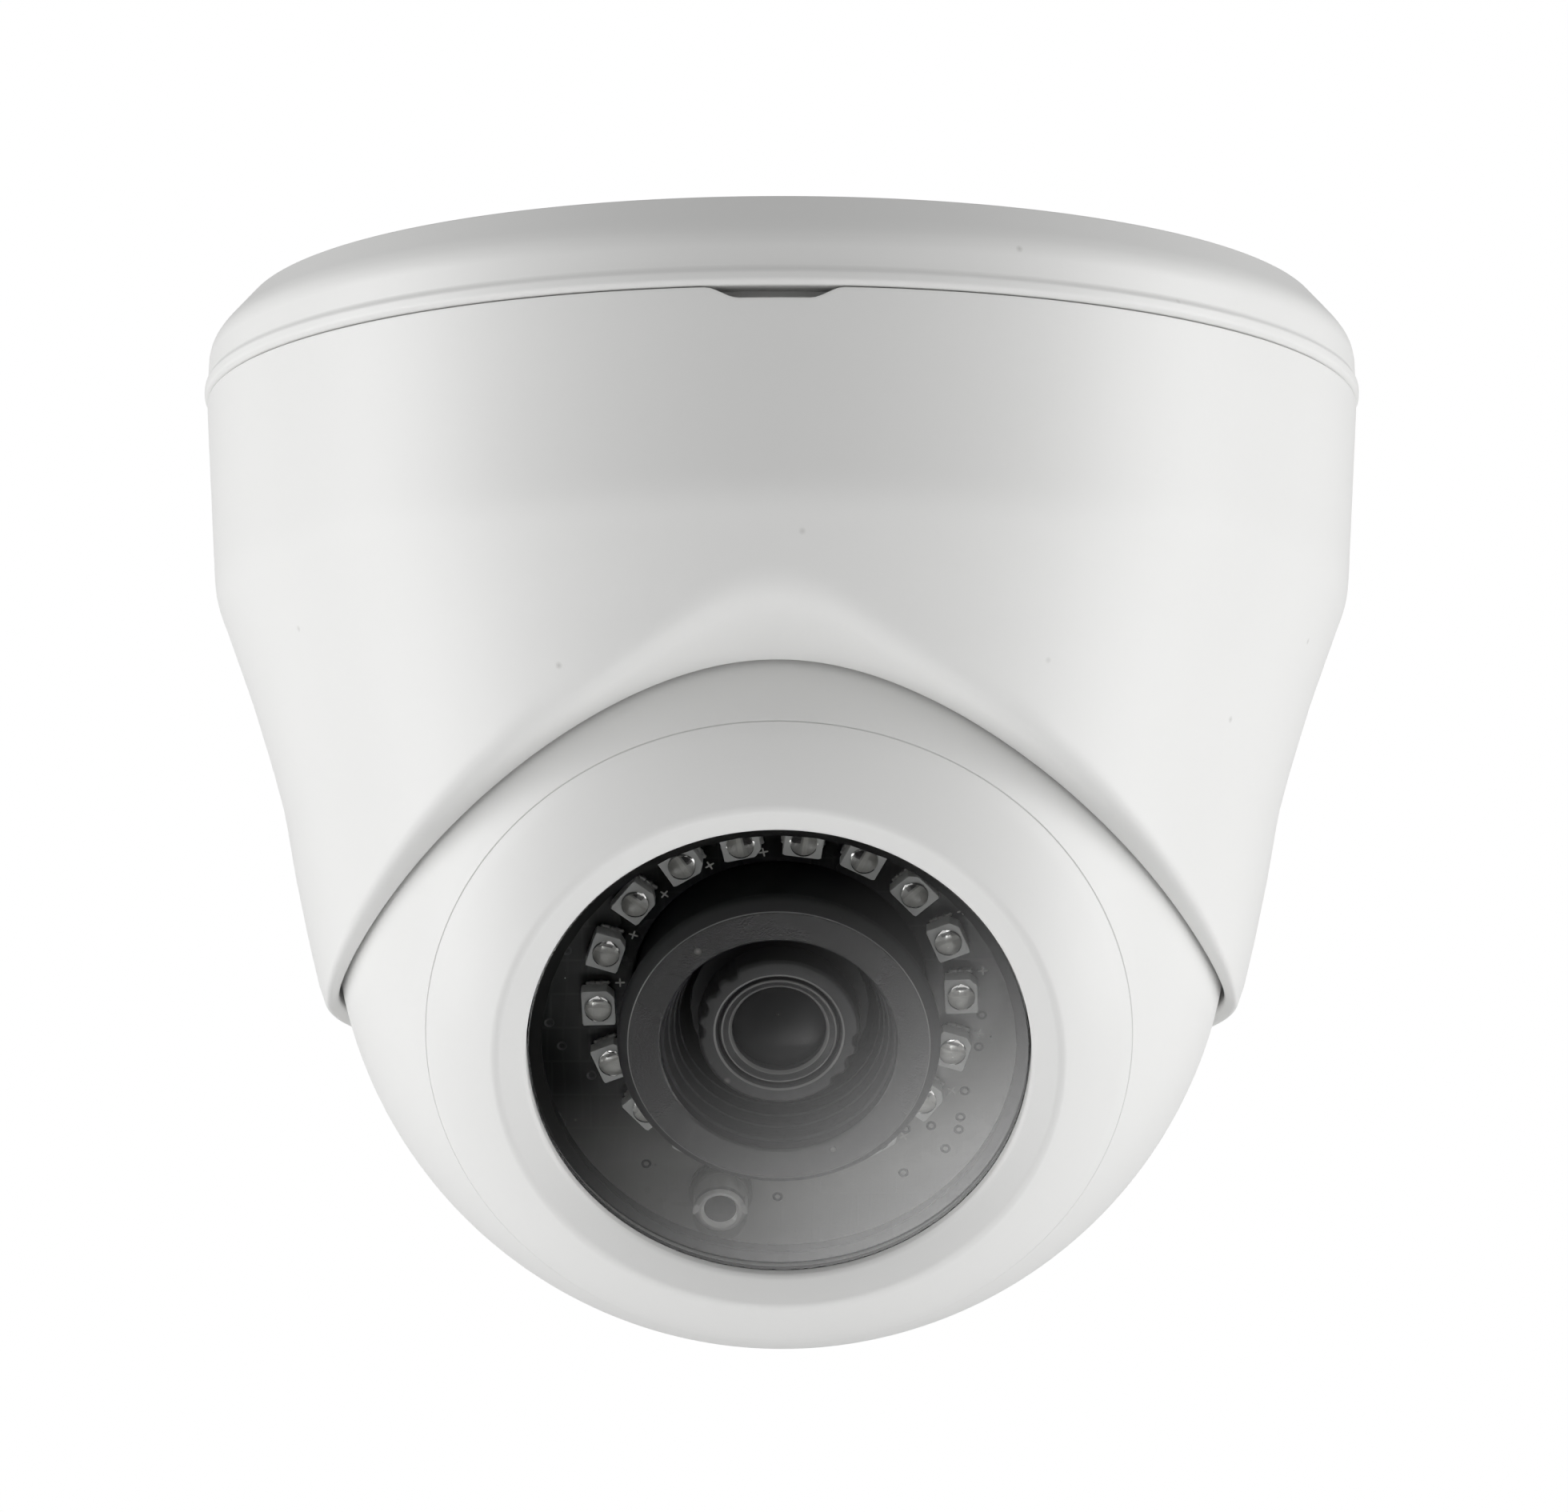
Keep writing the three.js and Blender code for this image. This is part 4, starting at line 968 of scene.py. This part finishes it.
class DOME_OT_emitters(Operator):
    """The ring of infrared emitters."""

    bl_idname = "dome.emitters"
    bl_label = "Infrared emitters"

    def execute(self, context):
        sizes = context.scene.dome_optics
        tone = context.scene.dome_colours.led_body
        body = finish("LED Resin", tone, 0.42, scale=5200.0, vary=0.05)
        tin = (0.66, 0.66, 0.65)
        solder = finish("Solder", tin, 0.3, metal=1.0, scale=5200.0, depth=0.00008, vary=0.2, bump=1.0)
        dome = clear("LED Lens Resin", (0.97, 0.97, 0.96), ior=1.5, smudge=0.01)
        materials = [body, led_cup(), dome, solder]
        shapes = self.emitter(sizes)
        for name, *spot in zip(LED_NODES, *led_places(sizes)):
            parts = [(to_frame(turn_about(part[0], *spot), LOOKING), *part) for part in shapes]
            whole = joined(parts)
            make_object(name.replace("ir_led", "emitter"), whole, materials, "ball", [name], "led_package", whole[3])
        return {"FINISHED"}

    def emitter(self, sizes):
        """An emitter about its own centre: a clipped block with a cup, a clear dome and two solder fillets.

        The block's outline is the nearest of five straight edges at each angle, and the cup is
        round. The dome's foot bulges at two opposite points.
        """
        base = sizes.board_front / MM + 0.3
        top = base + sizes.led_height / MM
        half_x, half_y = sizes.led_long / MM / 2, sizes.led_short / MM / 2
        facing = np.radians([0, 90, 180, 270, -45])
        clipped = (half_x + half_y - 0.7) / np.sqrt(2)
        distance = np.array([half_x, half_y, half_x, half_y, clipped])
        side = 1.75

        def outline(angle, profile):
            edges = distance[:, None] / np.cos(angle - facing[:, None]).clip(0.05)
            return np.where(profile[:, :1] > 1.3, edges.min(0)[None, :] / side, 1.0)

        rows = [
            (0, base), (side - 0.03, base), (side, base + 0.1), (side, top - 0.08), (1.71, top - 0.01),
            (1.64, top), (1.25, top), (1.2, top - 0.06), (0.92, top - 0.6), (0, top - 0.62),
        ]
        first_cup_row = 7
        _, block, faces, row = turned(rows, 56, LOOKING, outline=outline)
        in_cup = np.split(row >= first_cup_row, [len(faces[0])])
        shapes = []
        for number in (0, 1):
            chosen = [f[mask == number] for f, mask in zip(faces, in_cup)]
            shapes.append((block, [f for f in chosen if len(f)], number))
        nub = lambda angle: 1 + 0.085 * (np.exp(-((np.sin(angle) / 0.16) ** 2)))
        dome_outline = lambda angle, profile: np.where(profile[:, 1:] < top + 0.12, nub(angle)[None, :], 1.0)
        cap = arc(0, top - 0.45, 1.45, 56, 0, 9)
        cap[-1, 0] = 0
        foot = [(0, top - 0.56), (0.88, top - 0.56), (1.13, top - 0.1), (1.2, top + 0.04)]
        _, dome, dome_faces, _ = turned(np.concatenate([foot, cap]), 40, LOOKING, outline=dome_outline)
        shapes.append((dome, dome_faces, 2))
        for end in (-1, 1):
            shapes.append((*self.fillet(end, half_x, base - 0.3), 3))
        return shapes

    def fillet(self, side, half_x, foot):
        """A bead of solder at one end: a half-round section carried across the end, its size rippled by sines."""
        rows, count = 15, 10
        turns = np.linspace(0, 2 * np.pi, count, endpoint=False)
        u, v = np.meshgrid(np.linspace(0, 1, rows), turns, indexing="ij")
        ripple = 1 + 0.22 * np.sin(19 * u + side) + 0.12 * np.sin(41 * u)
        closing = np.sqrt(np.clip(1 - (2 * u - 1) ** 8, 0.0, 1))
        size = 0.2 * ripple * closing + 0.004
        x = side * (half_x + 0.02) + size * np.cos(v)
        y = (u - 0.5) * 2.3
        d = foot + 0.12 + size * 1.1 * np.sin(v)
        local = np.stack([x, y, d], -1).reshape(-1, 3)
        quads = looped((rows, count))[: (rows - 1) * count]
        ends = np.arange(count), np.arange(rows * count - 1, (rows - 1) * count - 1, -1)
        caps = np.concatenate([np.stack([np.full(count - 2, e[0]), e[1:-1], e[2:]], -1) for e in ends])
        return local, [quads, caps]


class DOME_OT_photocell(Operator):
    """The light sensor: a clear domed body over a ringed disc and two lead posts."""

    bl_idname = "dome.photocell"
    bl_label = "Photocell"

    def execute(self, context):
        low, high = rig.box("photocell")
        middle = np.array((low + high) / 2) / MM
        offset = middle - BALL_CENTRE
        foot = context.scene.dome_optics.board_front / MM + 0.3
        height, radius, post_offset = 7.0, 2.5, 1.55
        # The node's box is level in the frame, so its middle is carried along the sight to the face.
        along = foot + height / 2
        centre = np.array([offset @ ACROSS, (offset - along * SIGHT) @ FACE_UP])
        brim = radius + 0.4
        shell = np.concatenate([
            [(0, foot), (brim, foot), (brim, foot + 0.9), (radius + 0.3, foot + 1.0), (radius, foot + 1.05)],
            arc(0, foot + height - radius, radius, 90, 0, 16),
        ])
        shell[-1, 0] = 0
        resin = clear("Photocell Resin", (0.95, 0.95, 0.94), ior=1.47, smudge=0.03)
        turn_object("photocell_dome", shell, 64, resin, ["photocell"], "photocell_lens", centre)
        bright = finish("Bright Lead Frame", (0.95, 0.95, 0.94), 0.3, scale=6000.0, vary=0.06)
        disc = finish("Sensor Disc", (0.10, 0.10, 0.099), 0.45, scale=7000.0, vary=0.15)
        cup_resin = finish("Sensor Cup", (0.50, 0.50, 0.49), 0.4, scale=5000.0, vary=0.2)
        eye = foot + 3.9
        ring = [
            (0.88, eye - 0.4), (1.32, eye - 0.35), (1.32, eye - 0.15), (1.22, eye + 0.05), (1.10, eye + 0.12),
            (0.98, eye + 0.05), (0.88, eye - 0.1), (0.88, eye - 0.4),
        ]
        plate = [(0, eye - 0.5), (1.0, eye - 0.5), (1.0, eye - 0.12), (0, eye - 0.12)]
        cup = [
            (0, foot + 0.3), (1.9, foot + 0.3), (2.1, foot + 1.1), (1.95, foot + 1.2), (1.3, eye - 1.0),
            (0, eye - 1.0),
        ]
        post = [
            (0, foot + 0.4), (0.24, foot + 0.4), (0.24, eye - 0.2), (0.34, eye - 0.05), (0.34, eye + 0.1),
            (0, eye + 0.1),
        ]
        plan = [(ring, 40, 0, 0), (plate, 40, 0, 1), (cup, 40, 0, 2)]
        plan += [(post, 12, side * post_offset, 0) for side in (-1, 1)]
        parts = []
        for profile, count, across, number in plan:
            shape = turned(profile, count, LOOKING, centre=centre + np.array([across, 0.0]))
            parts.append((*shape[:3], number))
        whole = joined(parts)
        make_object("photocell_frame", whole, [bright, disc, cup_resin], "ball", (), "screw_steel", whole[3])
        return {"FINISHED"}


# ------------------------------------------------------------------ hood and lens
class DOME_OT_hood(Operator):
    """The hood round the lens: a grained front, a plain stem and a stepped bore."""

    bl_idname = "dome.hood"
    bl_label = "Hood"

    def execute(self, context):
        sizes = context.scene.dome_optics
        front, radius, mouth = sizes.hood_front / MM, sizes.hood_radius / MM, sizes.hood_mouth / MM
        back, throat, stem = 11.3, 8.6, 13.0
        outside = [
            (throat, back), (stem, back), (stem, front - 2.1), (radius - 0.15, front - 1.9), (radius, front - 1.7),
            (radius, front - 1.2), (radius - 0.2, front - 0.85), (radius - 1.0, front), (mouth + 0.18, front),
            (mouth, front - 0.16),
        ]
        bore = [
            (mouth - 0.06, front - 1.3), (mouth - 0.34, front - 1.45),
            (mouth - 0.62, front - 2.9), (mouth - 0.80, front - 2.95),
            (mouth - 1.05, front - 4.2), (mouth - 1.25, front - 4.25),
            (mouth - 1.48, front - 5.5), (mouth - 1.66, front - 5.55),
            (throat, front - 7.6), (throat, back),
        ]
        reach = [0, 0.1, 0.3, 0.1, 0.15, 0.15, 0.15, 0.12, 0.1, 0.06]
        steps = 5
        profile = soften(outside + bore, reach + [0.05] * len(bore), steps)
        shape = turned(profile, 224, LOOKING)
        rows = shape[3]
        rim_row, mouth_row = (1 + (corner - 1) * steps for corner in (7, 9))
        half = steps // 2
        numbers = np.where((rows >= rim_row + half) & (rows < mouth_row + half), 0, 1)
        # Painted highlight: the rim's rounded edge takes the paler edge finish.
        numbers[(rows >= rim_row) & (rows < rim_row + half)] = 2
        materials = [hood_front_plastic(), hood_bore_plastic(), edge_highlight()]
        make_object("hood_moulding", shape, materials, "ball", ["lens_hood"], "black_plastic", numbers)
        return {"FINISHED"}


class DOME_OT_lens(Operator):
    """The lens: a barrel with finger notches, a retaining ring and its glass."""

    bl_idname = "dome.lens"
    bl_label = "Lens"

    def execute(self, context):
        front = context.scene.dome_optics.lens_front / MM
        radius = context.scene.dome_optics.lens_radius / MM
        tone = context.scene.dome_colours.lens
        metal = finish("Anodised Black", tone, 0.36, scale=4500.0, depth=0.00001, vary=0.12, specks=0.04, ior=1.35)
        self.barrel(front, radius, metal)
        self.ring(front, metal)
        self.glass(front)
        return {"FINISHED"}

    def barrel(self, front, radius, metal):
        """The barrel, its flange cut back in round scallops at two groups of clock angles."""
        notches = np.radians(90 - np.array([97, 115, 133, 270, 288, 306, 324]))

        def outline(angle, profile):
            off = np.angle(np.exp(1j * (angle[:, None] - notches[None, :])))
            scallop = (1 / (1 + (np.degrees(off) / 4.6) ** 6)).max(1)
            deep = (profile[:, 0] > 6.6) & (profile[:, 1] > front - 2.0)
            return np.where(deep[:, None], 1 - 0.062 * scallop[None, :], 1.0)

        profile = [
            (0, 11.2), (3.6, 11.2), (3.6, 9.2), (5.55, 9.2), (5.95, 9.6), (5.95, front - 2.8),
            (radius, front - 2.8), (radius, front - 0.28), (radius - 0.28, front), (5.75, front),
            (5.5, front - 0.3), (5.5, front - 1.2), (4.3, front - 1.2), (4.3, front - 2.6), (0, front - 2.6),
        ]
        reach = [0, 0, 0, 0.1, 0.1, 0.1, 0.1, 0.12, 0.14, 0.12, 0.1, 0.1, 0.1, 0.1, 0]
        shape = turned(soften(profile, reach, 5), 360, LOOKING, outline=outline)
        # Painted highlight on the rows of the flange's front edge.
        self.edged("lens_body", shape, metal, "lens_barrel", [33, 34, 35, 36])

    def edged(self, name, shape, metal, part, highlight_rows):
        """A metal piece of the lens, with a painted highlight, a paler finish, on some of its profile's rows."""
        numbers = np.isin(shape[3], highlight_rows)
        make_object(name, shape, [metal, edge_highlight()], "lens", [part], "lens_metal", numbers)

    def ring(self, front, metal):
        """The retaining ring: a flat land with a bevel down to the glass."""
        profile = [
            (4.2, front - 0.9), (5.2, front - 0.9), (5.2, front - 0.25), (4.95, front - 0.2), (4.6, front - 0.45),
            (4.45, front - 0.5), (4.2, front - 0.8), (4.2, front - 0.9),
        ]
        profile = soften(profile, [0, 0.05, 0.1, 0.08, 0.08, 0.06, 0.05, 0], 4)
        # Painted highlight on the rows of the ring's edges.
        highlight_rows = [5, 6, 7, 8, 17, 18, 19, 20]
        self.edged("lens_ring", turned(profile, 160, LOOKING), metal, "lens_front_ring", highlight_rows)

    def glass(self, front):
        """A shallow front element: a spherical cap over a flat back."""
        back, curve, edge = front - 2.3, 34.0, 4.2
        cap = arc(0, back + 1.0 - curve, curve, np.degrees(np.arcsin(edge / curve)), 0, 18)
        cap[-1, 0] = 0
        shape = turned(np.concatenate([[(0, back), (edge, back)], cap]), 128, LOOKING)
        tone = (0.008, 0.008, 0.0085)
        glass = finish("Coated Lens Glass", tone, 0.12, scale=800.0, depth=0.000001, vary=0.1, ior=1.17, bump=0.02)
        make_object("lens_glass", shape, glass, "lens", ["lens_front_glass"], "lens_glass")


# ------------------------------------------------------------------ inner modules
class DOME_OT_modules(Operator):
    """Finishes for the modules inside the ball, which keep their CAD shapes."""

    bl_idname = "dome.modules"
    bl_label = "Inner modules"

    def execute(self, context):
        colours = context.scene.dome_colours
        mask = finish("Green Solder Mask", colours.green_board, 0.35, scale=3000.0, vary=0.12)
        chip = finish("Chip Resin", (0.018, 0.018, 0.02), 0.5, scale=7000.0, vary=0.2)
        cream = finish("Connector Nylon", (0.68, 0.64, 0.53), 0.5, scale=3000.0, vary=0.05)
        wire = (0.62, 0.24, 0.09)
        copper = finish("Enamelled Copper", wire, 0.32, metal=1.0, scale=6000.0, depth=0.00004, vary=0.15)
        cut_filter = clear("Infrared Cut Glass", (0.75, 0.30, 0.32), ior=1.52)
        plain_filter = clear("Plain Filter Glass", (0.93, 0.95, 0.95), ior=1.52)
        paint_nodes([
            (inner_black(), ["lens_mount", "filter_slider", "module_bracket"]),
            (screw_steel(), [f"lens_mount_screw_{i}" for i in range(1, 3)]),
            (screw_steel(), [f"bracket_screw_{i}" for i in range(1, 4)]),
            (screw_steel(), [f"main_board_screw_{i}" for i in range(1, 5)]),
            (mask, ["main_board"]),
            (chip, ["image_sensor", "image_processor"]),
            (cream, ["board_connector"]),
            (copper, ["filter_coil"]),
            (cut_filter, ["infrared_cut_filter"]),
            (plain_filter, ["clear_filter"]),
        ])
        return {"FINISHED"}


# ------------------------------------------------------------------ studio
def aimed(name, data, place):
    """A camera or light at a place, turned so that its -Z points at the camera's target."""
    obj = placed_object(name, data)
    obj.location = place
    direction = Vector(CAMERA_TARGET) - obj.location
    obj.rotation_euler = direction.to_track_quat("-Z", "Y").to_euler()
    return obj


class DOME_OT_studio(Operator):
    """Camera, soft lights, pale surroundings and a pale floor far below the ceiling piece."""

    bl_idname = "dome.studio"
    bl_label = "Studio"

    def execute(self, context):
        studio = context.scene.dome_studio
        self.camera(context, studio)
        for side, x in (("left", -1.0), ("right", 1.0)):
            self.soft_light(f"side_{side}", (1.15 * x, -0.22, -0.05), (0.7, 1.2), studio.side_power)
            self.soft_light(f"flank_{side}", (1.10 * x, 0.42, -0.05), (1.3, 1.3), studio.flank_power)
            self.soft_light(f"lower_{side}", (0.65 * x, -0.25, -0.75), (0.6, 0.9), studio.lower_power)
        self.surroundings(context, studio.fill)
        self.floor(-studio.floor_drop / MM)
        self.reflection_card()
        context.scene.view_settings.view_transform = "Standard"
        return {"FINISHED"}

    def camera(self, context, studio):
        data = bpy.data.cameras.new("camera")
        data.lens = studio.lens_length
        data.sensor_width = 36.0
        data.sensor_fit = "HORIZONTAL"
        data.clip_end = 20
        context.scene.camera = aimed("camera", data, CAMERA_PLACE)

    def soft_light(self, name, place, size, watts):
        data = bpy.data.lights.new(name, "AREA")
        data.shape = "RECTANGLE"
        data.size, data.size_y = size
        data.energy = watts
        aimed(name, data, place).visible_camera = False

    def surroundings(self, context, fill):
        """White where it is seen directly, and dimmer as a light."""
        world = bpy.data.worlds.new("pale surroundings")
        world.use_nodes = True
        tree = world.node_tree
        tree.nodes.clear()
        direct = node(tree, "LightPath").outputs["Is Camera Ray"]
        light = node(tree, "Background", {"Color": (1, 1, 1, 1), "Strength": fill})
        seen = node(tree, "Background", {"Color": (1, 1, 1, 1), "Strength": 1.0})
        mixed = node(tree, "MixShader", {0: direct, 1: light.outputs[0], 2: seen.outputs[0]})
        out = node(tree, "OutputWorld", {"Surface": mixed.outputs[0]})
        out.is_active_output = True
        context.scene.world = world

    def floor(self, height):
        """A disc that rises gently at its edge: height grows with the fourth power of the radius."""
        radius, rise, thickness = 4000.0, 30.0, 20.0
        r = np.linspace(0, 1, 24)
        profile = np.stack([r * radius, height + rise * r**4], -1)
        under = profile[::-1] + np.array([0.0, -thickness])
        points, _, faces, _ = turned(np.concatenate([profile, under]), 96, HANGING)
        floor = placed_object("floor", new_mesh("floor", points, faces, self.pale_floor()))
        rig.stage(floor)

    def pale_floor(self):
        """Matt floor that is paler where it is seen directly than it is as a light."""
        material, tree, out = blank("Studio Floor")
        cloud = grain(tree, 60.0, 3.0).outputs["Cloud"]
        tone = blend(tree, cloud, (0.86, 0.86, 0.86, 1.0), (0.88, 0.88, 0.88, 1.0))
        matt = node(tree, "BsdfPrincipled", {"Base Color": tone, "Roughness": 0.7})
        pale = node(tree, "Emission", {"Color": tone, "Strength": 0.9})
        ray = node(tree, "LightPath")
        seen = math(tree, "MULTIPLY", ray.outputs["Is Camera Ray"], 0.75)
        mixed = node(tree, "MixShader", {0: seen, 1: matt.outputs[0], 2: pale.outputs[0]})
        tree.links.new(mixed.outputs[0], out.inputs["Surface"])
        return material

    def reflection_card(self):
        """A glowing card that only mirrors see, below the front: the window's face shows it.

        Its strength is a power of how far 0.8x + y has run between two limits.
        """
        half_width, front, back, height = 34.0, -156.0, -78.0, -255.0
        x, y = np.meshgrid([-half_width, half_width], [front, back], indexing="ij")
        points = np.stack([x, y, np.full_like(x, height)], -1).reshape(-1, 3)
        material, tree, out = blank("Card Glow")
        place = node(tree, "SeparateXYZ", {0: node(tree, "TexCoord").outputs["Object"]})
        slant = math(tree, "ADD", math(tree, "MULTIPLY", place.outputs[0], 0.8), place.outputs[1])
        near = ramp(tree, slant, -0.130, -0.062)
        strength = math(tree, "MULTIPLY", math(tree, "POWER", near, 2.6), 9.8)
        glow = node(tree, "Emission", {"Strength": strength})
        tree.links.new(glow.outputs[0], out.inputs["Surface"])
        mesh = new_mesh("reflection_card", points, [np.array([[0, 1, 3, 2]])], material)
        card = placed_object("reflection_card", mesh)
        card.visible_camera = card.visible_shadow = card.visible_diffuse = False
        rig.stage(card)


class DOME_PT_panel(Panel):
    """Lists the camera's pieces in the order they are built."""

    bl_label = "Dome Camera"
    bl_idname = "DOME_PT_panel"
    bl_space_type = "VIEW_3D"
    bl_region_type = "UI"
    bl_category = "Dome Camera"

    def draw(self, context):
        for operator in OPERATORS:
            self.layout.operator(operator.bl_idname)


GROUPS = {
    "dome_housing": HousingSizes,
    "dome_optics": OpticsSizes,
    "dome_colours": FinishColours,
    "dome_studio": StudioSettings,
}
OPERATORS = (
    DOME_OT_studio,
    DOME_OT_base,
    DOME_OT_cover,
    DOME_OT_ball,
    DOME_OT_window,
    DOME_OT_board,
    DOME_OT_emitters,
    DOME_OT_photocell,
    DOME_OT_hood,
    DOME_OT_lens,
    DOME_OT_modules,
)
CLASSES = (*GROUPS.values(), *OPERATORS, DOME_PT_panel)


def register():
    for cls in CLASSES:
        bpy.utils.register_class(cls)
    for name, group in GROUPS.items():
        setattr(bpy.types.Scene, name, PointerProperty(type=group))


def unregister():
    for name in GROUPS:
        delattr(bpy.types.Scene, name)
    for cls in reversed(CLASSES):
        bpy.utils.unregister_class(cls)


def main():
    """Registers the classes, builds each piece in order and writes the two boxes."""
    register()
    bpy.ops.dome.studio()
    bpy.ops.dome.base()
    bpy.ops.dome.cover()
    bpy.ops.dome.ball()
    bpy.ops.dome.window()
    bpy.ops.dome.board()
    bpy.ops.dome.emitters()
    bpy.ops.dome.photocell()
    bpy.ops.dome.hood()
    bpy.ops.dome.lens()
    bpy.ops.dome.modules()
    visual = [list(corner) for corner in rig.bounds()]
    with open("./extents.json", "w") as out:
        json.dump({"cad": CAD_BOX, "visual": visual}, out)


if __name__ == "__main__":
    main()
